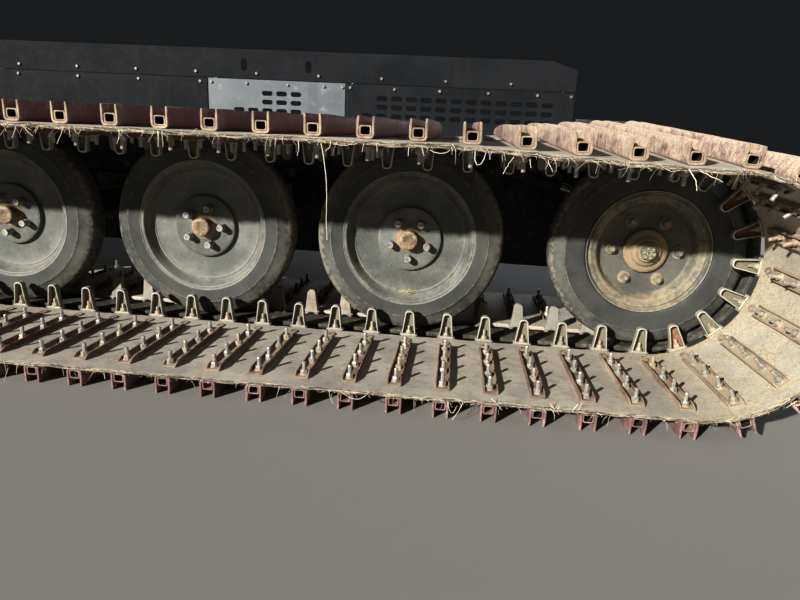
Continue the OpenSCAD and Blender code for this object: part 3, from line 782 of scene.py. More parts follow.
def bar_material():
    """Rust-brown crossbar with a pale dusty skin; the dust value says how much of it and, per bar, also carries painted
    light and shade.
    """
    k = Mat("crossbar_steel")
    big = k.noise(8.0, 5, 0.6)
    mid = k.noise(60.0, 6, 0.66)
    fine = k.noise(380.0, 3, 0.65)
    st = k.noise(28.0, 4, 0.65, stretch=(1.0, 0.8, 0.5))
    steel = k.mix(k.span(big, 0.35, 0.65), (0.190, 0.116, 0.114), (0.270, 0.170, 0.158))
    steel = k.mix(k.span(st, 0.55, 0.75, 0, 0.3), steel, (0.26, 0.165, 0.14))
    steel = k.mix(k.span(mid, 0.58, 0.74, 0, 0.6), steel, (0.10, 0.050, 0.040))
    dm = k.math("ADD", k.attr("dust", "Fac"), k.math("MULTIPLY", k.math("SUBTRACT", big, 0.5), 1.0))
    dm = k.math("ADD", dm, k.math("MULTIPLY", k.math("SUBTRACT", mid, 0.5), 1.9))
    dm = k.math("ADD", dm, k.span(k.up(), 0.3, 1.0, 0, 0.35))
    dmask = k.span(dm, 0.2, 0.95, 0, 0.92, smooth=True)
    skin = k.mix(k.span(fine, 0.3, 0.7), (0.30, 0.22, 0.17), (0.86, 0.75, 0.62))
    colour = k.mix(dmask, steel, skin)
    wm = k.span(k.math("ADD", k.attr("wear", "Fac"), k.math("MULTIPLY", k.math("SUBTRACT", mid, 0.5), 1.1)), 0.45, 0.8, 0, 0.95, smooth=True)
    colour = k.mix(wm, colour, k.mix(k.span(mid, 0.3, 0.7), (0.17, 0.12, 0.085), (0.46, 0.375, 0.275)))
    h = k.math("ADD", k.math("MULTIPLY", mid, 0.7), k.math("MULTIPLY", fine, k.fmix(dmask, 0.15, 0.45)))
    return k.finish(colour, k.fmix(dmask, 0.62, 0.9), k.bump(h, 0.5, 0.0013), k.math("MULTIPLY", k.math("SUBTRACT", 1.0, dmask), 0.15), 0.45)


def rim_material(name, paint, paint2, dust, dust_amt, rust_amt):
    """Painted wheel dish: round scratches, chips, rust in its corners and dust; worn ridges and the lip are lightened,
    partly as a painted highlight.
    """
    k = Mat(name)
    big = k.noise(11.0, 5, 0.62)
    mid = k.noise(80.0, 6, 0.68)
    fine = k.noise(520.0, 3, 0.65)
    colour = k.mix(k.span(big, 0.35, 0.65, smooth=True), paint, paint2)
    tone = k.fmix(k.rnd, 0.84, 1.32)
    colour = k.mix(1.0, colour, k.comb(tone, tone, tone), "MULTIPLY")
    scr = k.noise(46.0, 5, 0.8, 1.6)
    colour = k.mix(k.span(scr, 0.60, 0.66, 0, 0.42), colour, (0.27, 0.27, 0.245))
    speck = k.noise(260.0, 3, 0.8, 0.8)
    colour = k.mix(k.span(speck, 0.60, 0.68, 0, 0.5), colour, (0.33, 0.325, 0.28))
    colour = k.mix(k.span(speck, 0.42, 0.34, 0, 0.5), colour, (0.05, 0.05, 0.045))
    scr2 = k.noise(130.0, 4, 0.85, 2.4)
    colour = k.mix(k.span(scr2, 0.62, 0.67, 0, 0.35), colour, (0.42, 0.405, 0.35))
    # worn paint on the ridges and the lip, lightened also as a painted highlight of the light they catch
    lip = k.span(k.math("ADD", k.attr("wear", "Fac"), k.math("MULTIPLY", k.math("SUBTRACT", mid, 0.5), 0.8)), 0.38, 0.7, 0, 0.7)
    colour = k.mix(lip, colour, (0.36, 0.35, 0.31))
    rn = k.math("ADD", k.noise(24.0, 6, 0.7, 0.5), k.math("MULTIPLY", k.attr("wear", "Fac"), 0.2))
    colour = k.mix(k.span(rn, 0.70 - rust_amt, 0.80 - rust_amt, 0, 0.85, smooth=True), colour, k.mix(mid, (0.17, 0.08, 0.035), (0.36, 0.20, 0.10)))
    dm = k.math("ADD", k.math("MULTIPLY", k.attr("dust", "Fac"), dust_amt), k.math("MULTIPLY", k.math("SUBTRACT", big, 0.5), 1.2))
    dm = k.math("ADD", dm, k.math("MULTIPLY", k.math("SUBTRACT", mid, 0.5), 1.2))
    dm = k.math("ADD", dm, k.span(k.up(), 0.1, 1.0, 0, 0.35))
    dmask = k.span(dm, 0.15, 1.05, 0, 0.9, smooth=True)
    colour = k.mix(dmask, colour, k.mix(fine, tuple(c * 0.75 for c in dust), tuple(min(1, c * 1.25) for c in dust)))
    h = k.math("ADD", k.math("MULTIPLY", mid, 0.5), k.math("MULTIPLY", fine, k.fmix(dmask, 0.1, 0.4)))
    return k.finish(colour, k.fmix(dmask, 0.5, 0.9), k.bump(h, 0.35, 0.001), 0.0, 0.45)


BELT = belt_material()
BELT_LANE = belt_material("belt_rubber_lane", True)
THREAD = fibre_material()
BOLT = bolt_material()
GUIDE = guide_material()
TYRE = tyre_material()
BAR = bar_material()
RIM = rim_material("rim_paint", (0.092, 0.098, 0.093), (0.130, 0.136, 0.127), (0.255, 0.248, 0.212), 0.9, 0.02)
IDLER_RIM = rim_material("idler_rim_paint", (0.078, 0.080, 0.072), (0.115, 0.113, 0.097), (0.36, 0.305, 0.205), 0.85, 0.05)
CHANNEL = weathered("channel_steel", (0.155, 0.098, 0.074), (0.235, 0.165, 0.125), (0.075, 0.05, 0.038), (0.40, 0.335, 0.25),
                    (0.31, 0.25, 0.20), rough=0.75, up_amt=0.30, dust_bias=0.05, patch_amt=0.7, relief=0.55)
HUB = weathered("hub_steel", (0.125, 0.085, 0.05), (0.20, 0.145, 0.09), (0.07, 0.045, 0.03), (0.31, 0.25, 0.165),
                (0.36, 0.30, 0.22), rough=0.7, up_amt=0.25, dust_bias=0.1, patch=18.0, fine=120.0, relief=0.5)
AXLE = weathered("axle_paint", (0.030, 0.031, 0.034), (0.048, 0.048, 0.050), (0.085, 0.055, 0.04), (0.30, 0.26, 0.195),
                 (0.24, 0.215, 0.18), rough=0.5, up_amt=0.8, dust_bias=-0.12, relief=0.35, rust=(0.13, 0.06, 0.03), rust_amt=0.05)
ROD = weathered("rod_steel", (0.62, 0.62, 0.61), (0.70, 0.70, 0.69), (0.50, 0.49, 0.47), (0.42, 0.38, 0.31), (0.75, 0.75, 0.74),
                rough=0.18, metal=0.95, up_amt=0.12, dust_bias=-0.35, patch_amt=0.25, relief=0.08, stretch=(1, 6, 6))
SPROCKET = weathered("sprocket_steel", (0.105, 0.085, 0.07), (0.15, 0.125, 0.105), (0.07, 0.045, 0.033), (0.34, 0.28, 0.2),
                     (0.46, 0.44, 0.40), rough=0.5, metal=0.4, up_amt=0.4, relief=0.4, rust=(0.14, 0.062, 0.03), rust_amt=0.05)
DRIVE = weathered("drive_paint", (0.045, 0.047, 0.052), (0.065, 0.066, 0.07), (0.10, 0.07, 0.05), (0.30, 0.26, 0.195),
                  (0.27, 0.25, 0.22), rough=0.48, up_amt=0.7, dust_bias=-0.1, relief=0.3, rust=(0.13, 0.06, 0.03), rust_amt=0.03)
WALL = weathered("wall_paint", (0.026, 0.031, 0.042), (0.040, 0.046, 0.060), (0.055, 0.05, 0.048), (0.26, 0.235, 0.19),
                 (0.20, 0.20, 0.20), rough=0.45, up_amt=0.75, dust_bias=-0.15, patch=3.0, fine=26.0, relief=0.25, streak=0.35,
                 rust=(0.11, 0.052, 0.028), rust_amt=0.02)
PANEL = weathered("panel_paint", (0.100, 0.117, 0.134), (0.138, 0.156, 0.173), (0.060, 0.067, 0.075), (0.25, 0.25, 0.235),
                  (0.26, 0.28, 0.29), rough=0.48, up_amt=0.6, dust_bias=-0.1, patch=4.0, fine=34.0, relief=0.2, streak=0.45)
WELD = weathered("weld_bead", (0.07, 0.068, 0.066), (0.11, 0.10, 0.09), (0.05, 0.04, 0.035), (0.25, 0.22, 0.17),
                 (0.22, 0.2, 0.18), rough=0.55, metal=0.3, up_amt=0.5, relief=0.5)
NUT = weathered("wheel_nuts", (0.23, 0.232, 0.212), (0.33, 0.33, 0.30), (0.12, 0.09, 0.065), (0.33, 0.30, 0.235),
                (0.46, 0.455, 0.42), rough=0.5, metal=0.35, up_amt=0.2, dust_bias=0.02, patch=30.0, fine=200.0, relief=0.4, dist=0.0007,
                rust=(0.17, 0.08, 0.04), rust_amt=0.06)
FRAMEBOLT = weathered("frame_bolts", (0.16, 0.15, 0.14), (0.24, 0.225, 0.20), (0.10, 0.06, 0.04), (0.30, 0.26, 0.195),
                      (0.42, 0.41, 0.38), rough=0.5, metal=0.4, up_amt=0.6, patch=30.0, fine=200.0, relief=0.3, dist=0.0006,
                      rust=(0.15, 0.07, 0.035), rust_amt=0.05)
# painted shade: the panels' paint darkened to near black, standing in for the shade of the bodywork above; used on the
# front panel, the tail and the upper strip
PANEL_PAINTED_SHADE = weathered("panel_paint_painted_shade", (0.013, 0.015, 0.018), (0.021, 0.023, 0.027), (0.03, 0.029, 0.028), (0.20, 0.18, 0.15),
                       (0.06, 0.06, 0.06), rough=0.72, spec=0.15, dust_amt=0.6, up_amt=0.6, dust_bias=-0.55, patch=4.0, fine=34.0, relief=0.2,
                       streak=0.4, worn_amt=0.6)
IDLER_NUT = weathered("idler_bolts", (0.17, 0.155, 0.12), (0.25, 0.23, 0.18), (0.11, 0.085, 0.055), (0.34, 0.29, 0.205),
                      (0.42, 0.395, 0.33), rough=0.6, metal=0.15, up_amt=0.2, dust_bias=0.05, patch=30.0, fine=200.0, relief=0.4, dist=0.0007,
                      rust=(0.17, 0.08, 0.04), rust_amt=0.05)


def straw_material():
    k = Mat("dry_straw")
    return k.finish(k.mix(k.rnd, (0.44, 0.31, 0.18), (0.66, 0.54, 0.36)), 0.85, None, 0.0, 0.3)


STRAW = straw_material()


def bar_inside_material():
    """Bore of a crossbar: near-black painted shade, on some crusted with dry mud."""
    k = Mat("crossbar_inside_painted_shade")
    n = k.noise(120.0, 4, 0.7)
    # painted shade: the bore is darkened to near black to stand in for the shade inside the tube
    dark = k.mix(n, (0.020, 0.014, 0.012), (0.062, 0.042, 0.034))
    mud = k.mix(k.span(n, 0.3, 0.7), (0.12, 0.085, 0.055), (0.40, 0.32, 0.22))
    colour = k.mix(k.span(k.rnd, 0.70, 0.74), dark, mud)
    return k.finish(colour, 0.95, k.bump(n, 0.8, 0.003), 0.0, 0.2)


BAR_BORE_SHADE = bar_inside_material()


# ---------------------------------------------------------------- belts
FLAT = [-19.5, -10.0, 0.0, 10.0, 19.5]
FREE = [26.0, 34.0, 44.0, 55.0, 66.0, 76.0, 84.0]
gap_wave = np.random.default_rng(7).uniform(-1.0, 1.0, (CLEATS, 2))


def belt_stations(fine=True):
    """Frames round the loop: on a crossbar the belt is flat, between two it follows the loop."""
    out = []
    for i, s in enumerate(BAR_S):
        for u in (FLAT if fine else (-19.5, 0.0, 19.5)):
            rot, t = ride_matrix(s, u)
            out.append((s + u, rot, t, 0.0, i))
        for u in (FREE if fine else (37.0, 55.0, 73.0)):
            rot, t = ride_matrix(s + u)
            out.append((s + u, rot, t, math.sin(math.pi * (u - 19.5) / (PITCH - 39.0)), i))
    return out


def belt(y0, y1, across, fine, seed, tear=(1.0, 1.0), mat=0):
    st = belt_stations(fine)
    s = np.array([a[0] for a in st])
    t = np.linspace(-1, 1, across)
    ys = (y0 + y1) / 2 + (y1 - y0 - 12) / 2 * np.sign(t) * (1 - (1 - np.abs(t)) ** 1.6)
    near = [(y0 + 1.6, -5.9), (y0 + 0.5, -4.4), (y0, -2.4), (y0 + 0.5, -0.6), (y0 + 0.1, 1.6), (y0 + 0.3, 3.6), (y0 + 1.4, 5.8)]
    far = [(y1 - 1.6, -5.9), (y1 - 0.5, -4.4), (y1, -2.4), (y1 - 0.5, -0.6), (y1 - 0.1, 1.6), (y1 - 0.3, 3.6), (y1 - 1.4, 5.8)]
    sec = [(y, -MID) for y in ys] + far + [(y, MID) for y in ys[::-1]] + near[::-1]
    n = len(sec)
    fray = [[wobble(seed + 10 * e + k, 150, 1400, 60)(s) for k in range(7)] for e in range(2)]
    slow = [wobble(seed + 50 + e, 6, 60, 30)(s) for e in range(2)]
    thick = wobble(seed + 80, 40, 400, 60)(s)
    verts = np.zeros((len(st), n, 3))
    loc = np.zeros((len(st), n, 3))
    wear = np.zeros((len(st), n))
    dust = np.zeros((len(st), n))
    for j, (y, h) in enumerate(sec):
        for e, yy in ((0, y0), (1, y1)):
            d = abs(y - yy)
            if d < 7:
                k = 0
                pts = near if e == 0 else far
                near_pt = [abs(y - p[0]) + abs(h - p[1]) for p in pts]
                k = int(np.argmin(near_pt))
                amp = (1.5 if d < 3 else 0.4) * tear[e]
                sign = 1 if e == 0 else -1
                off_y = sign * (np.abs(fray[e][k]) * amp + np.maximum(slow[e], 0) * 1.2 * tear[e] * (1 if d < 3 else 0.6))
                off_h = fray[e][(k + 3) % 7] * 0.6 * tear[e] * (1 if d < 3 else 0)
                verts[:, j, 1] += off_y
                verts[:, j, 2] += off_h
        # worn thin on the crossbars' side along the free edges
        thin = 1.0 - 0.55 * float(smooth(24.0, 1.0, min(abs(y - y0) if abs(y0) > 400 else 99, abs(y - y1) if abs(y1) > 400 else 99))) if h > 0 else 1.0
        verts[:, j, 1] += y
        verts[:, j, 2] += h * thin
        dist = min(y - y0, y1 - y)
        wear[:, j] = np.clip(1.0 - max(0.0, dist - 0.4) / 5.0, 0, 1) * (1 if dist < 3 else 0.5)
        loc[:, j, 0], loc[:, j, 1], loc[:, j, 2] = s, y, h
    # the free edges wave between the crossbars
    for e, (yy, amp) in enumerate(((y0, 2.6 if abs(y0) > 400 else 0.4), (y1, 2.6 if abs(y1) > 400 else 0.4))):
        edge = smooth(44.0 if amp > 1 else 12.0, 0.0, np.abs(verts[:, :, 1] - yy))
        a = np.array([gap_wave[st_[4], e] * st_[3] for st_ in st])
        verts[:, :, 2] += edge * (a * amp)[:, None] + edge * (thick * 0.5)[:, None]
    out = np.einsum("kij,knj->kni", np.array([a[1] for a in st]), verts) + np.array([a[2] for a in st])[:, None, :]
    m = len(st)
    k, j = np.arange(m)[:, None], np.arange(n)[None, :]
    q = np.stack([k * n + j, k * n + (j + 1) % n, ((k + 1) % m) * n + (j + 1) % n, ((k + 1) % m) * n + j], -1).reshape(-1, 4)
    sh = Shape(out.reshape(-1, 3), q, (), 0, 0, mat)
    sh.loc = loc.reshape(-1, 3)
    sm = np.mod(s, LOOP)
    pale = 0.74 + 0.28 * (smooth(LS[4] - 60, LS[4] + 60, sm) * (1 - smooth(LS[9] + 60, LS[9] + 300, sm)))
    outer_edge = np.array([abs(y - (y0 if abs(y0) > abs(y1) else y1)) < 12 for y, h in sec])
    wear = wear * np.where(outer_edge[None, :] & (abs(y0) > 400 or abs(y1) > 400), pale[:, None], 0.12)
    sh.wear = wear.ravel()
    # dust gathers beside the wheel lane, in the turn and by the channels
    turn = smooth(LS[9] + 180, LS[9] + 520, sm) * 1.0 + (sm < 60) * 0.6 + smooth(330, 60, sm) * (sm >= 60) * 0.55
    turn = np.clip(turn, 0, 1)
    yy = verts[:, :, 1]
    if abs(y0) > 400 or abs(y1) > 400:
        inner_edge = y1 if abs(y1) < abs(y0) else y0
        lane = smooth(42, 6, np.abs(yy - inner_edge))
        out_edge = smooth(34, 4, np.abs(yy - (y0 if inner_edge == y1 else y1)))
        dust = 0.42 * lane + 0.20 * out_edge + turn[:, None] * 0.42
    else:
        dust = 0.15 + turn[:, None] * 0.3 + 0 * yy
    side = np.array([1.0 if a[3] > 0 else 0.0 for a in st])
    beside = np.array([math.exp(-((abs(((a[0] - BAR_S[a[4]] + 55) % PITCH) - 55)) - 23.0) ** 2 / 60.0) for a in st])
    dust = dust + 0.22 * beside[:, None] * side[:, None]
    sh.dust = np.broadcast_to(dust, yy.shape).ravel().copy()
    return sh.out()


build(belt(-518, -95, 14, True, 100, (1.0, 0.7)), "belt_outer", BELT, replaces=("track_belt_outer",), smooth=50)
build(belt(-49, 49, 5, False, 300, (0.6, 0.6)), "belt_lane", BELT_LANE, replaces=("track_belt_lane",), smooth=50)
build(belt(95, 518, 10, False, 500, (0.7, 0.9)), "belt_inner", BELT, replaces=("track_belt_inner",), smooth=50)


def belt_point(s, y, h):
    """Points on the belt at s, with the flat at each crossbar left out."""
    rot, t = ride_matrix(s)
    return rot @ np.array([0.0, y, h]) + t


def fibres(y, sign, count, seed, long_share=0.12, reach=1.0):
    """Loose strands out of a torn belt edge; they droop."""
    g = np.random.default_rng(seed)
    k = 7
    paths = np.zeros((count, k, 3))
    radii = np.zeros((count, k))
    clump = wobble(seed + 5, 20, 120, 40)
    done = 0
    while done < count:
        s = g.uniform(0, LOOP)
        if g.uniform(-1, 1) > clump(np.array([s]))[0] * 0.8 + 0.25:
            continue
        base = belt_point(s, y - sign * 1.0, g.uniform(-5.0, 5.0))
        long = g.uniform() < long_share
        ln = (g.uniform(14, 34) if long else g.lognormal(1.55, 0.55)) * reach
        rot = ride_matrix(s)[0]
        d = rot @ np.array([g.normal(0, 1.1), sign * g.uniform(0.15, 1.0), g.normal(-0.25, 0.55)])
        d /= np.linalg.norm(d)
        bend = g.normal(0, 1, 3) * 0.8
        p = base.copy()
        r0 = g.uniform(0.32, 0.62) if long else g.uniform(0.25, 0.5)
        for j in range(k):
            paths[done, j] = p
            radii[done, j] = r0 * (1.0 - 0.55 * j / (k - 1))
            d = d + (bend + np.array([0, 0, -1.6 if long else -0.7])) * 0.16
            d /= np.linalg.norm(d)
            p = p + d * ln / (k - 1)
            p[2] = max(p[2], 1.0)
            p[1] = max(p[1], -552.0)
        done += 1
    return tube(paths, radii, 3, rnd=g.uniform(0, 1, count))


def strand(points, radius, n=14, seed=0, jitter=0.6):
    """One strand through a few points, smoothed."""
    p = np.asarray(points, float)
    t = np.concatenate([[0], np.cumsum(np.linalg.norm(np.diff(p, axis=0), axis=1))])
    t /= t[-1]
    u = np.linspace(0, 1, n)
    out = np.stack([np.interp(u, t, p[:, k]) for k in range(3)], 1)
    for _ in range(2):
        out[1:-1] = (out[:-2] + 2 * out[1:-1] + out[2:]) / 4
    g = np.random.default_rng(seed)
    out[1:-1] += g.normal(0, jitter, (n - 2, 3))
    return out, np.linspace(radius, radius * 0.7, n)


# strands that show in the view: where they start, bend and end
SEEN = [
    ([(16, 127), (12, 138)], 0.8), ([(24, 127), (28, 132), (33, 136)], 0.7), ([(64, 127), (57, 144)], 0.8),
    ([(69, 128), (70, 137)], 0.7), ([(74, 127), (75, 131), (78, 134.5), (81, 129)], 0.7), ([(159, 131), (158, 147)], 0.7),
    ([(162, 131), (163, 147)], 0.7), ([(37, 127), (34, 132)], 0.6), ([(298, 141), (299, 148), (297, 156)], 0.7),
    ([(321, 143), (323, 150), (325, 165), (327, 190), (326, 215), (327, 240)], 0.85),
    ([(331, 141), (330, 147), (325, 151)], 0.8), ([(333, 144), (345, 145.5), (357, 143.5)], 0.7), ([(364, 143), (362, 152)], 0.7),
    ([(377, 144), (377, 152)], 0.7), ([(409, 147), (408, 156)], 0.8), ([(422, 149), (424, 156)], 0.7),
    ([(430, 150), (436, 153), (445, 153.5), (450, 150)], 0.8), ([(475, 151), (475, 160), (477, 166.5), (482, 164), (486, 153)], 0.95),
    ([(514, 157), (508, 165), (503, 174)], 0.8), ([(530, 159), (531, 168)], 0.8), ([(548, 160), (550, 166), (553, 172)], 0.7),
    ([(549, 163), (545, 169)], 0.6), ([(689, 169), (692, 174), (696, 181), (697, 191)], 1.1), ([(700, 171), (710, 176), (723, 182)], 1.0),
    ([(662, 167), (672, 172), (680, 170)], 0.7), ([(8, 368), (4, 382)], 0.6), ([(104, 373), (105, 379)], 0.7),
    ([(340, 391), (348, 397), (357, 400), (366, 396), (370, 391)], 0.7), ([(448, 402), (449, 411), (453, 414), (457, 406)], 0.7),
    ([(463, 402), (459, 411), (452, 420)], 0.7), ([(491, 398), (497, 404), (502, 410)], 0.7), ([(550, 403), (556, 412)], 0.8),
    ([(578, 404), (572, 412)], 0.7), ([(582, 403), (577, 413)], 0.6), ([(790, 399), (780, 406)], 0.8), ([(797, 401), (786, 408)], 0.7),
]
strands, radii = [], []
for k, (pts, r) in enumerate(SEEN):
    y = -518.6
    p, rr = strand([sight(px, py, y - 1.2 * min(1, j)) for j, (px, py) in enumerate(pts)], r, 14, 900 + k, 0.35)
    strands.append(p)
    radii.append(rr)
edge_threads = join([fibres(-518, -1, 2300, 21, 0.09), fibres(-95, 1, 260, 22, 0.05, 0.8),
                     tube(np.array(strands), np.array(radii), 5, rnd=np.full(len(strands), 0.2))])
build(edge_threads, "belt_threads_outer", THREAD)
build(join([fibres(518, 1, 480, 23, 0.08), fibres(95, -1, 160, 24, 0.05, 0.8)]), "belt_threads_inner", THREAD)

# ---------------------------------------------------------------- crossbars
BAR_YS = [-500, -499, -493, -450, -370, -290, -200, -110, -30, 50, 120, 180, 235, 285, 325, 360, 395, 426, 452, 473, 489, 499, 500]


def arc(cx, cz, r, a0, a1, n):
    return [(cx + r * cd(a0 + (a1 - a0) * k / n), cz + r * sd(a0 + (a1 - a0) * k / n)) for k in range(n + 1)]


def bar_unit():
    """U with a closed tube in its bottom; z outward, 0 on the belt."""
    outer = [(18.2, 45.0), (17.4, 46.0)] + [(14.4, 46.0), (13.8, 45.2), (13.4, 34.0)] + arc(9.6, 9.6, 4.0, 0, -90, 2)
    outer += [(0.0, 5.4)] + arc(-9.6, 9.6, 4.0, -90, -180, 2) + [(-13.4, 34.0), (-13.8, 45.2), (-14.4, 46.0), (-17.4, 46.0), (-18.2, 45.0)]
    outer += [(-18.9, 30.0)] + arc(-10.0, 9.0, 9.0, 180, 270, 3) + arc(10.0, 9.0, 9.0, 270, 360, 3) + [(18.9, 30.0)]
    u = extrude(outer, -CLEAT_HALF, CLEAT_HALF, bevel=0.9, ys=BAR_YS[:1] + BAR_YS[2:-2] + BAR_YS[-1:])
    tube_ = extrude(rrect(-12.9, 12.9, 5.9, 27.0, 4.0, 3), -CLEAT_HALF + 1.6, CLEAT_HALF - 1.6,
                    holes=[rrect(-9.4, 9.4, 8.6, 24.0, 3.0, 2)], bevel=0.8,
                    ys=[-CLEAT_HALF + 1.6, 0, 320, 420, CLEAT_HALF - 1.6])
    o = join([u.out(), tube_.out()])
    o.loc = o.v.copy()
    w = o.v[o.q]
    bore = (np.abs(w[:, :, 0]) < 9.7).all(1) & (w[:, :, 2] > 8.3).all(1) & (w[:, :, 2] < 24.3).all(1)
    # the bore's faces take the second material, the near-black painted shade
    o.qm = np.where(bore, 1, 0)
    return o


unit = bar_unit()
top = unit.v[:, 2] > 33.0
g = np.random.default_rng(11)
# y where the far end starts to come down, for bars whose far end shows; others at random
RAMP = {57: (250, 16.0), 58: (-40, 13.0), 59: (120, 20.0), 60: (-380, 4.0), 61: (60, 14.0), 62: (200, 16.0)}
bars = []
for i in range(CLEATS):
    c = unit.copy()
    y, z = c.v[:, 1].copy(), c.v[:, 2]
    y_start, z_end = RAMP.get(i, (g.uniform(300, 400), g.uniform(14, 24)))
    t = np.clip((y - y_start) / (CLEAT_HALF - y_start), 0, 1)
    ceil = z_end + (46.0 - z_end) * np.sqrt(np.clip(1 - t ** 2.2, 0, 1))
    t2 = np.clip((-y - 465) / 35.0, 0, 1)
    near_drop = 46.0 - g.uniform(0.0, 2.2) * t2 ** 2
    w1, w2 = g.uniform(0, 6.28, 2)
    rag = np.where(c.v[:, 0] > 0, np.sin(y * 0.021 + w1), np.sin(y * 0.027 + w2)) * 0.5 - 0.4
    rag += g.normal(0, 0.35, len(y)) * (np.abs(y) > 400)
    lim = np.minimum(ceil, near_drop)
    z2 = np.minimum(np.where(top, z + rag, z), lim)
    z2 = np.minimum(z2, 46.0)
    c.v[:, 2] = z2
    # prongs spread or lean a little
    k = (z2 - 27.0) / 19.0
    c.v[:, 0] += np.where(top, np.clip(k, 0, 1) * (g.normal(0, 0.5) + np.sin(y * 0.012 + w2) * 0.35), 0)
    turn = rot_z(g.normal(0, 0.10))
    c.v = c.v @ turn.T
    s = BAR_S[i] % LOOP
    # painted light: the front of the upper run, where the bars' flanks face the light, gets much more pale dust than
    # the real dust all bars carry; the bars behind stay darker as painted shade
    base = 0.10 + 0.55 * float(smooth(LS[7] - 30, LS[7] + 420, s)) * (1 if s < LS[9] + 200 else 0.5)
    if s < LS[1]:
        base = 0.22
    c.dust = np.full(len(y), base) + 0.18 * smooth(25, 46, z2) + 0.12 * smooth(3, 0, z2)
    low = s < LS[1] or s > LS[9] + 330
    tips = 0.62 * smooth(43.0, 46.0, z2) * (np.abs(y) > 60)
    c.wear = np.maximum(tips, 0.45 * smooth(42.5, 45.5, z2)) * (0.35 if low else 1.0)
    c.wear = np.maximum(c.wear, (0.22 if low else 0.85) * smooth(-494, -499.0, y) + 0.6 * smooth(494, 499.5, y))
    c.rnd[:] = g.uniform(0, 1)
    rot, p = BAR_M[i]
    bars.append(c.moved(rot, p + rot @ np.array([0, 0, MID])))
build(join(bars), "crossbars", [BAR, BAR_BORE_SHADE], replaces=("track_crossbars",), smooth=38)

# round heads of the belt bolts, in the crossbars' open side
head = lathe([(0, 5.2), (5.6, 4.4), (8.2, 2.5), (9.0, 0.6), (9.0, 0.0)][::-1], 8, wear=[0, 0.1, 0.3, 0.5, 0.6]).out()
heads = []
g = np.random.default_rng(12)
BOLT_Y = [213.0, 292.0, 373.0, 452.0]
for i in range(CLEATS):
    rot, p = BAR_M[i]
    y_start = RAMP.get(i, (300, 0))[0]
    for y in [-b for b in BOLT_Y] + BOLT_Y:
        if y > 400:
            continue
        c = head.moved(RX90).moved(rot, p + rot @ np.array([g.normal(0, 0.3), y + g.normal(0, 0.8), MID + 26.8]))
        c.rnd[:] = g.uniform(0.4, 1)
        c.dust[:] = 0.5
        heads.append(c)
build(join(heads), "crossbar_bolt_heads", BOLT)


# ---------------------------------------------------------------- channels and their bolts
def channel_unit(sign):
    """Shallow channel on the belt's inner face; z points inward from that face."""
    g_ = np.random.default_rng(3 if sign < 0 else 4)
    inner = 165.0
    prof = [(-17, 0.1), (17, 0.1), (17, 12.2), (16.2, 13.0), (14.2, 13.0), (13.5, 12.2), (13.5, 5.4), (12.2, 4.0), (-12.2, 4.0),
            (-13.5, 5.4), (-13.5, 12.2), (-14.2, 13.0), (-16.2, 13.0), (-17, 12.2)]
    ys = [inner, inner + 2, inner + 8, inner + 16, 225, 275, 325, 375, 420, 458, 466, 472, 474]
    c = extrude(prof, inner, 474, bevel=0.7, ys=ys)
    y = c.v[:, 1]
    ramp = np.minimum(smooth(inner + 2, inner + 15, y), smooth(473, 459, y))
    z = c.v[:, 2]
    c.v[:, 2] = np.where(z > 4.5, 4.0 + (z - 4.0) * np.maximum(ramp, 0.02), z)
    c.wear = 0.55 * smooth(11, 13, z) + 0.4 * (ramp < 0.3)
    c.dust = np.where(z < 5, 0.25, 0.0)
    c.v[:, 1] = y * sign
    if sign < 0:
        c.q, c.t = c.q[:, ::-1], c.t[:, ::-1]
    c.loc = c.v.copy()
    return c.out()


def bolt_unit(step):
    """Flange nut and the bolt's threaded end, along y from 0."""
    flange = lathe([(11.0, 0.0), (11.2, 1.3), (9.6, 2.6), (7.0, 3.3)], 12, dust=[0.6, 0.4, 0.3, 0.2])
    nut = hexagon(15.6, 2.6, 12.0, 1.3, wear=0.3)
    shank = [(5.0, 10.0)]
    y = 12.0
    while y < 30.5 and step:
        shank += [(5.05, y), (4.45, y + step * 0.45)]
        y += step
    shank += [(5.0, 31.2), (4.2, 33.0), (0.0, 33.2)]
    return join([flange, nut, lathe(shank, 8 if step else 6)])
plate_unit = extrude(ring(0, 0, 11.5, 14), 0.0, 3.2, holes=[ring(0, 0, 4.4, 8)], bevel=0.8)
plate_unit.v[:, 2] *= 1.55
plate_unit.wear = np.where(plate_unit.v[:, 1] > 2.0, 0.4, 0.1)
plate_bolt = lathe([(4.2, 0.5), (4.2, 2.2), (0, 3.1)], 8)
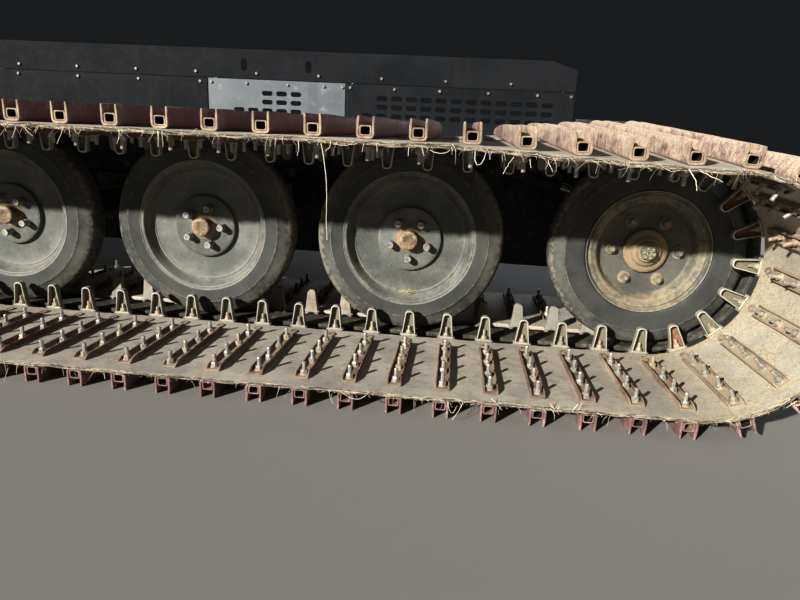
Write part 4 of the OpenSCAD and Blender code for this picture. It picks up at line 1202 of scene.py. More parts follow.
for sign, word in ((-1, "outer"), (1, "inner")):
    g = np.random.default_rng(30 + sign)
    cu = channel_unit(sign)
    unit_bolt = bolt_unit(3.4 if sign < 0 else 0)
    steel, bolts = [], []
    for i in range(CLEATS):
        rot, p = BAR_M[i]
        # z axis turned inward
        flip = np.diag([1.0, 1.0, -1.0])
        c = cu.copy()
        y = c.v[:, 1]
        w1, w2 = g.uniform(0, 6.28, 2)
        tall = c.v[:, 2] > 6
        c.v[:, 0] += np.where(tall, (np.sin(y * 0.028 + w1) * 0.6 + g.normal(0, 0.25, len(y))) * 0.7, 0)
        c.v[:, 2] += np.where(tall & (c.v[:, 2] > 11), np.sin(y * 0.041 + w2) * 0.45 - 0.45, 0)
        c.v = c.v @ rot_z(g.normal(0, 0.22)).T
        c.rnd[:] = g.uniform(0, 1)
        s = BAR_S[i] % LOOP
        c.dust += 0.5 * float(smooth(LS[9] + 200, LS[9] + 500, s)) + (0.28 if s < 200 else 0.0)
        c = c.moved(flip, flip=True)
        steel.append(c.moved(rot, p + rot @ np.array([0, 0, -MID])))
        for by in BOLT_Y:
            b = unit_bolt.copy()
            b.rnd[:] = g.uniform(0, 1) ** 2.2 * 0.86 + (0.14 if g.uniform() < 0.05 else 0.0)
            b.v[:, 1] *= np.where(b.v[:, 1] > 12.5, g.uniform(0.93, 1.02), 1.0)
            tilt = rot_x(g.normal(0, 1.3)) @ rot_z(g.normal(0, 1.3)) @ rot_y(g.uniform(0, 60))
            b = b.moved(tilt).moved(RXM90)
            bolts.append(b.moved(rot, p + rot @ np.array([g.normal(0, 0.3), sign * by + g.normal(0, 1.2), -MID - 3.9])))
        pl = plate_unit.moved(rot_y(g.normal(0, 3))).moved(RXM90)
        pl.rnd[:] = g.uniform(0, 1)
        pl.dust[:] = 0.35
        pp = p + rot @ np.array([g.normal(0, 0.5), sign * 141.0 + g.normal(0, 0.8), -MID + 0.2])
        steel.append(pl.moved(rot, pp))
        pb = plate_bolt.moved(RXM90)
        pb.rnd[:] = g.uniform(0.3, 1)
        pb.dust[:] = 0.6
        bolts.append(pb.moved(rot, pp))
    reps = ("track_backing_channels",) if sign < 0 else ()
    build(join(steel), "channels_" + word, CHANNEL, replaces=reps, smooth=36)
    build(join(bolts), "belt_bolts_" + word, BOLT, smooth=40)


# ---------------------------------------------------------------- guides
def guide_outline(w, top_w, z0, h, r, n=5):
    """Foot at z0, round top at h; z points inward from the belt's face."""
    k = math.degrees(math.atan2(w - top_w, h - z0))
    pts = [(w, z0)]
    # right side up to the tangent of the top arc, then over
    pts += [(w - (w - top_w) * f, z0 + (h - r - z0) * f) for f in (0.28, 0.62, 0.93)]
    pts += arc(top_w - r + 0.3, h - r, r, k * 0.5, 90, n)
    left = [(-x, z) for x, z in pts[::-1]]
    return pts + left


def guide_unit(sign):
    out = guide_outline(22.0, 13.2, -11.8, 74.0, 11.5, 6)
    ins = guide_outline(17.6, 9.4, 4.0, 69.6, 7.6, 6)
    o0 = inset(out, 0.0)
    lip_o, lip_i = inset(out, 1.1), inset(ins, -1.1)
    loops = [ins, ins, ins, ins, lip_i, lip_o, out, out, out, inset(out, 1.4)]
    ys = [-76.4, -76.9, -83.0, -91.0, -92.0, -92.0, -91.0, -80.0, -73.4, -72.0]
    c = loft(loops, ys, dust=[1, 0.35, 0.15, 0.05, 0.0, 0, 0, 0, 0, 0], wear=[0, 0, 0.05, 0.6, 1.0, 1.0, 0.7, 0.0, 0.1, 0.35])
    foot = box(-25.5, 25.5, -93.2, -70.8, -0.6, 2.6, r=1.2, wear=0.2, edge_wear=0.5)
    inner_plate = box(-15.5, 15.5, -90.5, -77.5, 3.4, 5.4, r=0.8, wear=0.1)
    inner_plate.dust[:] = 0.8
    g1 = join([c.out(), foot.out(), inner_plate.out()])
    if sign > 0:
        g1.v[:, 1] *= -1
        g1.q, g1.t = g1.q[:, ::-1], g1.t[:, ::-1]
    g1.loc = g1.v.copy()
    return g1


def guide_bolt(step):
    nut = join([lathe([(9.4, 0.0), (9.5, 1.4), (7.0, 2.5)], 10, dust=0.3), hexagon(13.6, 2.0, 9.2, 1.1, dust=0.2)])
    sh = [(4.4, 8.0)]
    y = 9.2
    while y < 21.5 and step:
        sh += [(4.4, y), (3.85, y + step * 0.45)]
        y += step
    sh += [(4.3, 22.4), (3.6, 24.0), (0, 24.2)]
    return join([nut, lathe(sh, 7 if step else 5)])


for sign, word in ((-1, "outer"), (1, "inner")):
    g = np.random.default_rng(50 + sign)
    gu = guide_unit(sign)
    gb = guide_bolt(3.2 if sign < 0 else 0)
    shells, bolts = [], []
    flip = np.diag([1.0, 1.0, -1.0])
    for i in range(CLEATS):
        rot, p = BAR_M[i]
        c = gu.copy()
        # bent a little: shift grows with the height, one side dented
        hgt = np.clip(c.v[:, 2] / 74.0, 0, 1)
        c.v[:, 0] += hgt * g.normal(0, 1.0)
        c.v[:, 1] += sign * hgt * abs(g.normal(0, 0.9))
        c.v[:, 2] -= hgt * abs(g.normal(0, 1.0)) * 0.7
        dent = g.uniform(25, 60)
        side = g.choice([-1, 1])
        c.v[:, 0] -= side * 0.9 * g.uniform(0, 1) * np.exp(-((c.v[:, 2] - dent) / 12.0) ** 2) * (np.sign(c.v[:, 0]) == side)
        c.rnd[:] = g.uniform(0, 0.62) if g.uniform() < 0.86 else g.uniform(0.85, 1)
        # painted shade: most inner guides get the rusty, darker colour to stand in for the shade that falls on them
        if sign > 0 and g.uniform() < 0.6:
            c.rnd[:] = g.uniform(0.8, 1)
        c = c.moved(flip, flip=True)
        shells.append(c.moved(rot, p + rot @ np.array([0, 0, -MID])))
        b = gb.copy()
        b.rnd[:] = g.uniform(0, 1) ** 2 * 0.88
        b.v[:, 1] *= np.where(b.v[:, 1] > 9.5, g.uniform(0.85, 1.12), 1.0)
        b.dust += 0.25
        b = b.moved(rot_x(g.normal(0, 1.5)) @ rot_y(g.uniform(0, 60))).moved(RXM90)
        bolts.append(b.moved(rot, p + rot @ np.array([0, sign * 84.2, -MID - 5.0])))
    build(join(shells), "guides_" + word, GUIDE, replaces=("track_guides_" + word,), smooth=34)
    build(join(bolts), "guide_bolts_" + word, BOLT, smooth=40)


# ---------------------------------------------------------------- wheels
def mirror_profile(front, back_r, back_y):
    """Front half of a tyre's profile from bore to the middle of the tread, then its mirror image."""
    back = [(r, -y) for r, y in front[::-1]]
    return front + back + [(back_r, back_y), (back_r, -back_y)]


def tyre(x, z, lip_r, r, seed, name, body, node, gap):
    """Solid tyre: bead, flat side, edge at the tread band, sloping worn shoulder."""
    c = 0.84 * 274
    bead_ = [(lip_r - 5.5, -40.0), (lip_r - 2.0, -41.6), (lip_r + 1.6, -42.4), (lip_r + 3.2, -45.6), (lip_r + 5.4, -46.6)] if gap else \
            [(lip_r - 5.5, -43.0), (lip_r - 3.0, -44.6), (lip_r + 0.4, -46.2), (lip_r + 2.4, -46.9), (lip_r + 5.0, -47.0)]
    front = bead_ + [
             (lip_r + 8.0, -47.2), (lip_r + 18, -48.0), (c - 7.0, -49.0), (c - 2.4, -49.7), (c - 0.8, -50.0), (c + 1.0, -49.4),
             (c + 2.6, -48.2), (c + 6.0, -46.4), (c + 15, -42.8), (c + 24, -39.2), (c + 30.0, -36.6), (c + 34.0, -33.6),
             (r - 5.2, -29.0), (r - 2.4, -23.0), (r - 0.8, -15.0), (r, -6.0)]
    prof = mirror_profile(front, lip_r - 5.6, 40.0)
    du = [0.4, 0.4, 0.3, 0.25, 0.2, 0.1, 0.05, 0.05, 0.1, 0.3, 0.5, 0.6, 0.66, 0.7, 0.66, 0.55, 0.5, 0.5, 0.5, 0.5, 0.5]
    # the wear at the side's crease is partly scuffing, partly a painted highlight on its edge
    we = [0, 0, 0, 0, 0, 0, 0, 0, 0.4, 0.75, 0.5, 0.15, 0.1, 0.2, 0.36, 0.5, 0.6, 0.55, 0.5, 0.45, 0.4]
    n = 120
    s = lathe(prof, n, dust=du + du[::-1] + [0.4, 0.4], wear=we + we[::-1] + [0, 0], closed=True)
    g = np.random.default_rng(seed)
    a = np.arctan2(s.v[:, 2], s.v[:, 0])
    rad = np.hypot(s.v[:, 0], s.v[:, 2])
    # chewed edge of the tread, worse on one part of the wheel
    bad = 0.35 + 0.65 * np.clip(np.cos(a - g.uniform(-0.6, 0.2)), 0, 1)
    teeth = sum(np.sin(a * k + g.uniform(0, 6.28)) * w for k, w in ((7, 0.3), (19, 0.5), (31, 0.6), (47, 0.7), (53, 0.5)))
    cut = np.clip(teeth, 0, 2) * bad * smooth(c + 20, c + 33, rad) * smooth(r + 1, r - 8, rad)
    k = 1 - cut * 1.2 / np.maximum(rad, 1)
    s.v[:, 0] *= k
    s.v[:, 2] *= k
    s.wear += 0.25 * bad * smooth(c + 12, c + 34, rad)
    s.v[:, 1] += 0.25 * np.sin(a * 3 + g.uniform(0, 6)) * smooth(c - 30, c, rad) * (np.abs(s.v[:, 1]) < 47)
    s = s.moved(rot_y(g.uniform(0, 360)))
    s.loc = s.v.copy()
    s.rnd[:] = g.uniform(0, 1)
    s = s.moved(None, (x, 0, z))
    return build(s.out(), name, TYRE, body=body, replaces=(node,), smooth=36)


def road_rim(x, z, seed, name, node):
    """Pressed disc in a deep dish, rolled lip, barrel behind."""
    prof = [(41.0, -14.0), (92.0, -14.3), (140.0, -14.6), (158.0, -14.9), (160.4, -15.6), (162.2, -17.4), (163.8, -17.6), (165.6, -16.5),
            (167.0, -16.4), (169.4, -19.0), (173.0, -27.5), (177.8, -38.5), (182.4, -44.6), (185.4, -45.8), (188.6, -45.2),
            (190.6, -45.8), (192.8, -47.6), (193.9, -47.6), (194.0, -46.4), (192.0, -44.0), (187.9, -42.0), (187.6, -30.0),
            (184.0, -20.0), (184.0, 20.0), (187.6, 30.0), (187.9, 42.0), (193.8, 46.0), (192.5, 48.0), (187.0, 46.0),
            (182.0, 40.0), (181.0, -30.0), (171.5, -9.0), (166.0, -7.2), (120.0, -7.0), (41.0, -7.0)]
    du = [0.25, 0.25, 0.28, 0.4, 0.5, 0.7, 0.7, 0.6, 0.5, 0.5, 0.42, 0.35, 0.3, 0.4, 0.6, 0.5, 0.2, 0.1, 0.3] + [0.5] * 16
    # the wear on the ridge at the disc's edge and on the lip is partly real, partly a painted highlight
    we = [0.3, 0.1, 0, 0, 0, 0.2, 0.3, 0.5, 0.35, 0, 0, 0, 0.3, 0.5, 0.2, 0.2, 0.65, 0.6, 0.2] + [0.2] * 16
    s = lathe(prof, 112, dust=du, wear=we, closed=True).out()
    g = np.random.default_rng(seed)
    a = np.arctan2(s.v[:, 2], s.v[:, 0])
    rad = np.hypot(s.v[:, 0], s.v[:, 2])
    front = s.v[:, 1] < -5
    s.v[:, 1] += front * smooth(60, 120, rad) * smooth(160, 130, rad) * 0.5 * np.sin(2 * a + g.uniform(0, 6))
    s = s.moved(rot_y(g.uniform(0, 360)))
    s.loc = s.v.copy()
    s.rnd[:] = (0.30, 0.85, 0.55, 0.45)[seed - 211]
    build(s.moved(None, (x, 0, z)), name, RIM, replaces=(node,), smooth=30)


def sleeve_nut(af, length, socket=True):
    """Hexagon nut running into a round end with a shallow hollow."""
    body_ = hexagon(af, 0.0, length * 0.45, 1.0, wear=0.2)
    r = af / 2 - 0.2
    end = lathe([(r, length * 0.40), (r, length * 0.92), (r * 0.9, length), (r * 0.55, length), (r * 0.46, length - 1.0),
                 (0, length - 1.2)], 16, wear=[0.1, 0.2, 0.6, 0.5, 0.2, 0.2], dust=[0.2, 0, 0, 0, 0.2, 0.2])
    return join([body_, end])


def road_hub(x, z, seed, name, node, turn):
    """Flange with five nuts, rusty cap on the bearing housing."""
    g = np.random.default_rng(seed)
    front = lathe([(0, -61.6), (7.0, -61.8), (9.0, -63.2), (18.0, -64.0), (22.0, -63.6), (25.4, -62.0), (27.2, -59.6), (28.0, -56.0),
                   (28.2, -40.0), (29.0, -34.5), (32.0, -31.2), (36.5, -30.2), (38.5, -29.0), (40.0, -28.3), (58.0, -28.0), (84.0, -28.0),
                   (89.6, -27.8), (91.6, -26.6), (92.0, -24.6), (92.0, -14.4), (40.0, -13.9), (40.0, -6.8), (66.0, -6.8), (66.0, 0.0), (58.0, 10.0),
                   (58.0, 60.0), (55.0, 62.0), (0, 62.0)][::-1], 72,
                  wear=([0.1, 0.1, 0.3, 0.5, 0.6, 0.6, 0.4, 0.2, 0, 0, 0, 0, 0, 0, 0, 0, 0.4, 0.5, 0.2, 0] + [0] * 8)[::-1],
                  dust=([0.5, 0.5, 0.4, 0.3, 0.2, 0.2, 0.2, 0.2, 0.3, 0.5, 0.6, 0.5, 0.5, 0.4, 0.3, 0.25, 0.2, 0.2, 0.3, 0.5] + [0.3] * 8)[::-1])
    front.v[:, 1] += (np.hypot(front.v[:, 0], front.v[:, 2]) < 24) * (front.v[:, 1] < -60) * g.normal(0, 0.35, len(front.v))
    parts = [front.out()]
    shape = join(parts)
    shape.v[:, 1] = np.maximum(shape.v[:, 1], -64.0)
    shape.loc = shape.v.copy()
    shape.rnd[:] = g.uniform(0, 1)
    # the flange wears the rim's paint, the cap and its neck are rusty
    rq = np.hypot(shape.v[shape.q][:, :, 0], shape.v[shape.q][:, :, 2]).mean(1)
    yq = shape.v[shape.q][:, :, 1].mean(1)
    shape.qm = np.where((rq > 42) & (yq < -16), 1, 0)
    build(shape.moved(None, (x, 0, z)), name, [HUB, RIM], replaces=(node,), smooth=34)
    nuts = []
    unit_ = sleeve_nut(21.0, 28.0)
    for k in range(5):
        a = turn + 72 * k
        c = unit_.moved(rot_y(g.uniform(0, 60))).moved(np.diag([1.0, -1.0, 1.0]), flip=True)
        c.rnd[:] = g.uniform(0.25, 0.8)
        nuts.append(c.moved(None, (x + 56.0 * cd(a), -28.0, z + 56.0 * sd(a))))
    build(join(nuts), name + "_nuts", NUT, smooth=40)


for k, x in enumerate(ROAD_X):
    i = k + 1
    tyre(x, WHEEL_Z, 194.0, WHEEL_R, 200 + i, "road_tyre_%d_rubber" % i, "chassis", "road_tyre_%d" % i, False)
    road_rim(x, WHEEL_Z, 210 + i, "road_rim_%d_dish" % i, "road_rim_%d" % i)
    # the pattern of nuts stands at another angle on each wheel
    road_hub(x, WHEEL_Z, 220 + i, "road_hub_%d_body" % i, "road_hub_%d" % i, (270.0, 288.0, 262.0, 300.0)[k])

# ---------------------------------------------------------------- tension wheel
tyre(IDLER_X, IDLER_Z, 172.0, WHEEL_R - 0.5, 240, "idler_tyre_rubber", "tension_arm", "idler_tyre", True)
prof = [(56.0, -6.0), (100.0, -6.2), (119.0, -6.5), (124.0, -7.2), (126.8, -8.6), (128.4, -10.6), (131.4, -17.0), (135.6, -25.0), (139.2, -30.4),
        (142.2, -32.8), (147.0, -33.6), (152.0, -35.2), (155.4, -37.8), (158.4, -38.2), (161.0, -37.0), (163.4, -37.4), (165.8, -40.6),
        (168.0, -44.6), (170.2, -47.2), (171.8, -47.6), (172.0, -46.0), (170.0, -43.0), (166.4, -41.8), (165.6, -30.0), (162.0, -20.0), (162.0, 20.0),
        (165.6, 30.0), (166.2, 42.0), (171.8, 46.4), (170.6, 48.0), (165.0, 46.0), (160.0, 40.0), (157.4, -27.0), (144.5, -24.0),
        (130.0, 1.0), (56.0, 1.0)]
du = [0.10, 0.05, 0.06, 0.15, 0.3, 0.35, 0.3, 0.35, 0.5, 0.6, 0.6, 0.5, 0.5, 0.45, 0.6, 0.5, 0.4, 0.3, 0.2, 0.2, 0.35] + [0.45] * 15
# the wear on the shelf ring and on the lip is partly real, partly a painted highlight
we = [0.1, 0, 0, 0, 0, 0.1, 0.3, 0.3, 0, 0, 0, 0.2, 0.5, 0.5, 0.1, 0, 0, 0.2, 0.7, 0.7, 0.3] + [0.1] * 15
s = lathe(prof, 112, dust=du, wear=we, closed=True).out()
s.loc = s.v.copy()
s.rnd[:] = 0.62
build(s.moved(None, (IDLER_X, 0, IDLER_Z)), "idler_rim_dish", IDLER_RIM, body="tension_arm", replaces=("idler_rim",),
      smooth=30)
g = np.random.default_rng(245)
hub = lathe([(14.0, -40.0), (19.5, -40.6), (21.5, -41.4), (24.0, -41.6), (27.0, -40.4), (29.0, -38.0), (30.0, -34.0), (34.0, -31.6), (38.5, -30.4),
             (41.5, -28.0), (43.0, -24.0), (45.5, -22.4), (52.0, -21.4), (58.0, -20.0), (61.2, -17.6), (62.0, -14.0), (62.0, -6.1), (55.0, -6.0),
             (55.0, 1.1), (100.0, 1.1), (100.0, 8.0), (68.0, 10.0), (68.0, 60.0), (66.0, 62.0), (14.0, 62.0)][::-1], 72, closed=True,
            wear=([0.3, 0.3, 0.4, 0.6, 0.5, 0.2, 0.1, 0, 0.1, 0.4, 0.2, 0, 0, 0.2, 0.6, 0.5, 0.1, 0] + [0] * 7)[::-1],
            dust=([0.3, 0.5, 0.7, 0.5, 0.3, 0.3, 0.5, 0.7, 0.6, 0.5, 0.6, 0.75, 0.7, 0.6, 0.35, 0.3, 0.5, 0.5] + [0.3] * 7)[::-1]).out()
hub.loc = hub.v.copy()
hub.rnd[:] = 0.35
build(hub.moved(None, (IDLER_X, 0, IDLER_Z)), "idler_hub_body", HUB, body="tension_arm", replaces=("idler_hub",), smooth=34)


def castle_nut():
    """Slotted nut on the axle's end; the end is hollow."""
    nut = hexagon(38.0, 0.0, 12.0, 1.6, wear=0.4)
    lugs = []
    for k in range(6):
        lug = box(-5.0, 5.0, 11.0, 17.2, 9.4, 17.4, r=1.0, seg=1, wear=0.3, edge_wear=0.5)
        lugs.append(lug.moved(rot_y(60 * k + 30)))
    end = lathe([(9.0, 8.0), (9.0, 14.6), (8.0, 16.0), (5.0, 16.0), (4.2, 15.0), (4.0, 9.0), (0, 8.0)], 20,
                wear=[0, 0.3, 0.5, 0.5, 0.2, 0, 0], dust=[0.3, 0.1, 0, 0, 0.3, 0.7, 0.8])
    wash = lathe([(12.0, -1.6), (24.0, -1.6), (24.6, -0.6), (23.6, 0.6), (12.0, 0.8)], 32, dust=0.4, wear=[0, 0.2, 0.4, 0.3, 0])
    return join([nut] + lugs + [end, wash])


back = np.diag([1.0, -1.0, 1.0])
nut = castle_nut().moved(rot_y(14)).moved(back, (IDLER_X, -41.0, IDLER_Z), flip=True)
nut.rnd[:] = 0.55
nuts = [nut]
for k in range(6):
    a = 60 * k
    wash = lathe([(6.0, 0.0), (18.5, 0.0), (18.7, 1.6), (17.6, 3.0), (12.0, 3.6), (11.0, 5.0), (6.0, 5.4)], 24,
                 wear=[0, 0.1, 0.5, 0.4, 0.1, 0.2, 0.1], dust=[0.5, 0.4, 0.2, 0.2, 0.5, 0.3, 0.2])
    bolt = hexagon(20.0, 4.6, 16.5, 1.2, wear=0.4)
    stud = lathe([(6.6, 14.0), (6.6, 20.6), (5.6, 22.0), (3.4, 22.0), (2.8, 20.8), (0, 20.0)], 12, wear=[0.2, 0.4, 0.6, 0.6, 0.3, 0],
                 dust=[0, 0, 0, 0, 0.5, 0.6])
    c = join([wash, bolt, stud]).moved(rot_y(g.uniform(0, 60))).moved(back, flip=True)
    c.rnd[:] = g.uniform(0.2, 0.75)
    c.dust += 0.15
    nuts.append(c.moved(None, (IDLER_X + 93.0 * cd(a), -6.2, IDLER_Z + 93.0 * sd(a))))
build(join(nuts), "idler_bolts", IDLER_NUT, body="tension_arm", smooth=38)

# dry straw that lies in the front road wheel's dish
g = np.random.default_rng(260)
stalks = []
for k in range(34):
    a = g.normal(-88.0, 3.6)
    r = g.uniform(158.0, 166.0)
    c = np.array([ROAD_X[0] + r * cd(a), g.uniform(-26.0, -17.5), WHEEL_Z + r * sd(a)])
    d = np.array([g.normal(0, 1.0), g.normal(0, 0.5), abs(g.normal(0, 0.45))])
    d *= g.uniform(4.0, 11.0) / np.linalg.norm(d)
    stalks.append(np.array([c - d * 0.4, c, c + d * 0.5 + g.normal(0, 0.8, 3), c + d]))
build(tube(np.array(stalks), np.full((34, 4), 0.55), 4, rnd=g.uniform(0, 1, 34)), "straw_in_dish", STRAW)


# ---------------------------------------------------------------- axles and frame
WALL_T, WALL_Z0, WALL_Z1, WALL_Z2 = 8.0, 154.0, 634.0, 806.0


def settle(shape, rnd=0.5):
    shape.loc = shape.v.copy()
    shape.rnd[:] = rnd
    return shape


def bead(points, r, seed, step=7.0):
    """Weld bead along a line of points: a row of small ripples."""
    p = np.asarray(points, float)
    t = np.concatenate([[0], np.cumsum(np.linalg.norm(np.diff(p, axis=0), axis=1))])
    n = max(6, int(t[-1] / step) * 2)
    u = np.linspace(0, t[-1], n)
    path = np.stack([np.interp(u, t, p[:, k]) for k in range(3)], 1)
    g_ = np.random.default_rng(seed)
    rr = r * (1 + 0.16 * np.where(np.arange(n) % 2 == 0, 1, -1) + g_.normal(0, 0.05, n))
    s_ = tube(path[None], rr[None], 6)
    s_.dust[:] = 0.3
    return s_


def circle_bead(x, y, z, r, w, seed):
    return bead([(x + r * cd(a), y, z + r * sd(a)) for a in range(0, 361, 10)], w, seed)


def hex_bolt(x, y, z, af, h, out_y, seed, washer=True):
    """Hexagon head on a washer at (x, y, z), pointing to out_y."""
    g_ = np.random.default_rng(seed)
    parts = [hexagon(af, 1.8 if washer else 0.0, h, 1.2, wear=0.45)]
    if washer:
        parts.append(lathe([(0, 0.0), (af * 0.92, 0.0), (af * 0.95, 1.0), (af * 0.88, 2.2), (0, 2.3)], 16, wear=[0, 0.2, 0.4, 0.2, 0], dust=0.3))
    c = join(parts).moved(rot_y(g_.uniform(0, 60)))
    if out_y < 0:
        c = c.moved(back, flip=True)
    c.rnd[:] = g_.uniform(0.1, 0.9)
    c.dust += 0.2
    return c.moved(None, (x, y, z))


bolts = []
for k, x in enumerate(ROAD_X):
    i = k + 1
    spindle = lathe([(0, 62.0), (34.0, 62.0), (35.0, 63.0), (35.0, 100.0), (41.0, 104.0), (43.5, 110.0), (43.5, 142.0), (40.0, 150.0), (0, 150.0)], 40,
                    at=(x, WHEEL_Z), wear=[0, 0.3, 0.3, 0, 0, 0.3, 0.3, 0, 0], dust=0.15)
    beam = extrude(rrect(x - 45, x + 45, WHEEL_Z - 45, WHEEL_Z + 45, 9, 3), 150, WALL_Y - 15, bevel=1.5, wear=0.0, edge_wear=0.3)
    plate = extrude(rrect(x - 95, x + 95, WHEEL_Z - 95, WHEEL_Z + 95, 10, 3), WALL_Y - 15, WALL_Y, bevel=1.6, edge_wear=0.55)
    arm = settle(join([spindle.out(), beam.out(), plate.out()]), 0.2 + 0.17 * k)
    build(arm, "axle_beam_%d_steel" % i, AXLE, replaces=("axle_beam_%d" % i,), smooth=34)
    w = bead([(x - 46, 592, WHEEL_Z - 40), (x - 46, 592, WHEEL_Z + 40), (x - 40, 592, WHEEL_Z + 46), (x + 40, 592, WHEEL_Z + 46),
              (x + 46, 592, WHEEL_Z + 40), (x + 46, 592, WHEEL_Z - 40), (x + 40, 592, WHEEL_Z - 46), (x - 40, 592, WHEEL_Z - 46),
              (x - 46, 592, WHEEL_Z - 40)], 4.6, 400 + k)
    build(settle(w), "axle_weld_%d" % i, WELD)
    for a in (-1, 1):
        for b in (-1, 1):
            bolts.append(hex_bolt(x + a * 74, WALL_Y - 15, WHEEL_Z + b * 74, 24, 15, -1, 410 + k * 4 + a + 2 * b))

# hanging arm of the tension wheel
arm_x, arm_z, eye_x, eye_z = 630.0, 600.0, 642.0, 434.0
cyl_x, cyl_z = 238.0, 534.0
shaft = lathe([(0, 62.0), (37.0, 62.0), (38.0, 63.0), (38.0, 110.0), (44.0, 114.0), (45.5, 120.0), (45.5, 160.0), (38.0, 166.0), (38.0, 529.9), (0, 529.9)],
              40, at=(IDLER_X, IDLER_Z), dust=0.15, wear=[0, 0.3, 0.3, 0, 0, 0.2, 0.2, 0, 0, 0])


def taper(x0, z0, r0, x1, z1, r1, n=18):
    """Outline round two circles."""
    d = math.hypot(x1 - x0, z1 - z0)
    a = math.degrees(math.atan2(z1 - z0, x1 - x0))
    b = math.degrees(math.acos((r0 - r1) / d))
    pts = [(x1 + r1 * cd(a - b + 2 * b * k / n), z1 + r1 * sd(a - b + 2 * b * k / n)) for k in range(n + 1)]
    pts += [(x0 + r0 * cd(a + b + (360 - 2 * b) * k / n), z0 + r0 * sd(a + b + (360 - 2 * b) * k / n)) for k in range(n + 1)]
    return pts


web = extrude(taper(arm_x, arm_z, 58, IDLER_X, IDLER_Z, 62), 530, 560, holes=[ring(arm_x, arm_z, 25.5, 32), ring(eye_x, eye_z, 15.5, 24)],
              bevel=2.0, edge_wear=0.45)
boss = extrude(ring(arm_x, arm_z, 57.9, 48), 559.5, 598, holes=[ring(arm_x, arm_z, 25.5, 32)], bevel=2.0, edge_wear=0.4)
arm = settle(join([shaft.out(), web.out(), boss.out()]), 0.4)
build(arm, "tension_arm_steel", AXLE, body="tension_arm", replaces=("tension_arm",), smooth=34)
weld = join([circle_bead(IDLER_X, 529.0, IDLER_Z, 39.5, 4.5, 431), circle_bead(arm_x, 561.0, arm_z, 59.0, 4.0, 432)])
build(settle(weld), "tension_arm_welds", WELD, body="tension_arm")

# cylinder, drawn along x from the barrel's eye
cyl_a = math.degrees(math.atan2(eye_z - cyl_z, eye_x - cyl_x))
cyl_l = math.hypot(eye_x - cyl_x, eye_z - cyl_z)
lie = rot_y(-cyl_a)
start = np.array([cyl_x, 545.0, cyl_z])


def along_x(prof, n=36, **kw):
    """A turned shape along x: profile of (radius, x)."""
    return lathe(prof, n, **kw).out().moved(RZM90).out()


barrel = [extrude(ring(0, 0, 30, 36), -14, 14, holes=[ring(0, 0, 15.5, 24)], bevel=1.2, edge_wear=0.4).out(),
          along_x([(0, 20), (18, 20), (18, 45), (24, 48), (34, 50), (35, 52), (35, 231), (38, 232.5), (39, 234), (39, 250), (37.5, 257), (36, 258),
                   (18.3, 258), (18.3, 90), (0, 90)], wear=[0, 0, 0, 0.2, 0.4, 0.4, 0.1, 0.3, 0.4, 0.4, 0.4, 0.3, 0, 0, 0], dust=0.2)]
port = lathe([(0, 0), (11, 0), (11, 12), (9.5, 13.5), (0, 13.5)], 16, wear=0.2).moved(RXM90)
for px in (72.0, 215.0):
    barrel.append(hexagon(22, 0, 16, 1.5, wear=0.3).moved(RXM90, (px, 0, -33)))
    barrel.append(lathe([(0, 15), (7, 15), (8, 18), (8, 34), (0, 34)], 14).out().moved(RXM90, (px, 0, -33)))
b = settle(join(barrel), 0.3)
build(b.moved(lie, start), "tension_cylinder_tube", AXLE, body="cylinder_barrel", replaces=("tension_cylinder_barrel",),
      smooth=34)
rod = along_x([(0, 150), (17.2, 150), (18, 151), (18, 312), (0, 312)], 36)
block = box(cyl_l - 110, cyl_l - 90, -28, 28, -26, 26, r=4, wear=0.1, edge_wear=0.4)
cheeks = []
for y0 in (17.0, -28.0):
    out_ = [(cyl_l - 96, -26), (cyl_l, -26)] + [(cyl_l + 26 * cd(a), 26 * sd(a)) for a in range(-75, 90, 15)] + [(cyl_l, 26), (cyl_l - 96, 26)]
    cheeks.append(extrude(out_, y0, y0 + 11, bevel=1.2, edge_wear=0.4).out())
pin = lathe([(0, -28.0), (13.5, -28.0), (15, -26.8), (15, 26.8), (13.5, 28.0), (0, 28.0)], 24, at=(cyl_l, 0), wear=[0, 0.2, 0.4, 0.4, 0.2, 0]).out()
r_ = settle(rod, 0.4)
build(r_.moved(lie, start), "tension_cylinder_rod_bar", ROD, body="cylinder_rod", replaces=("tension_cylinder_rod",), smooth=40)
f_ = settle(join([block.out()] + cheeks + [pin]), 0.6)
build(f_.moved(lie, start), "tension_cylinder_fork", AXLE, body="cylinder_rod", smooth=34)

# pivot of the arm and ears of the cylinder on the wall
piv = lathe([(0, 520.0), (31.0, 520.0), (34.0, 521.0), (35.0, 523.0), (35.0, 526.0), (25.0, 526.0), (25.0, 599.8), (72.0, 600.0), (75.0, 602.0),
             (75.0, 608.0), (0, 608.0)], 40, at=(arm_x, arm_z), wear=[0, 0.3, 0.5, 0.4, 0, 0, 0, 0.2, 0.5, 0, 0], dust=0.2)
ears = [lathe([(0, 514.0), (12.5, 514.0), (15.0, 515.6), (15.0, 574.4), (12.5, 576.0), (0, 576.0)], 24, at=(cyl_x, cyl_z), wear=0.2).out()]
for y0 in (517.0, 563.0):
    o_ = [(cyl_x - 46, cyl_z - 33), (cyl_x, cyl_z - 33)] + [(cyl_x + 33 * cd(a), cyl_z + 33 * sd(a)) for a in range(-75, 90, 15)] + \
         [(cyl_x, cyl_z + 33), (cyl_x - 46, cyl_z + 33)]
    ears.append(extrude(o_, y0, y0 + 10, bevel=1.2, edge_wear=0.4).out())
ears.append(box(cyl_x - 82, cyl_x - 38, 517, WALL_Y, cyl_z - 33, cyl_z + 33, r=4, wear=0.1, edge_wear=0.3).out())
br = settle(join([piv.out()] + ears), 0.7)
build(br, "tension_bracket_steel", AXLE, replaces=("tension_bracket",), smooth=34)
for k in range(6):
    bolts.append(hex_bolt(arm_x + 60 * cd(60 * k + 30), 600.0, arm_z + 60 * sd(60 * k + 30), 16, 11, -1, 450 + k))
for k in range(3):
    bolts.append(hex_bolt(arm_x + 21 * cd(120 * k + 30), 520.4, arm_z + 21 * sd(120 * k + 30), 10, 7, -1, 460 + k, False))

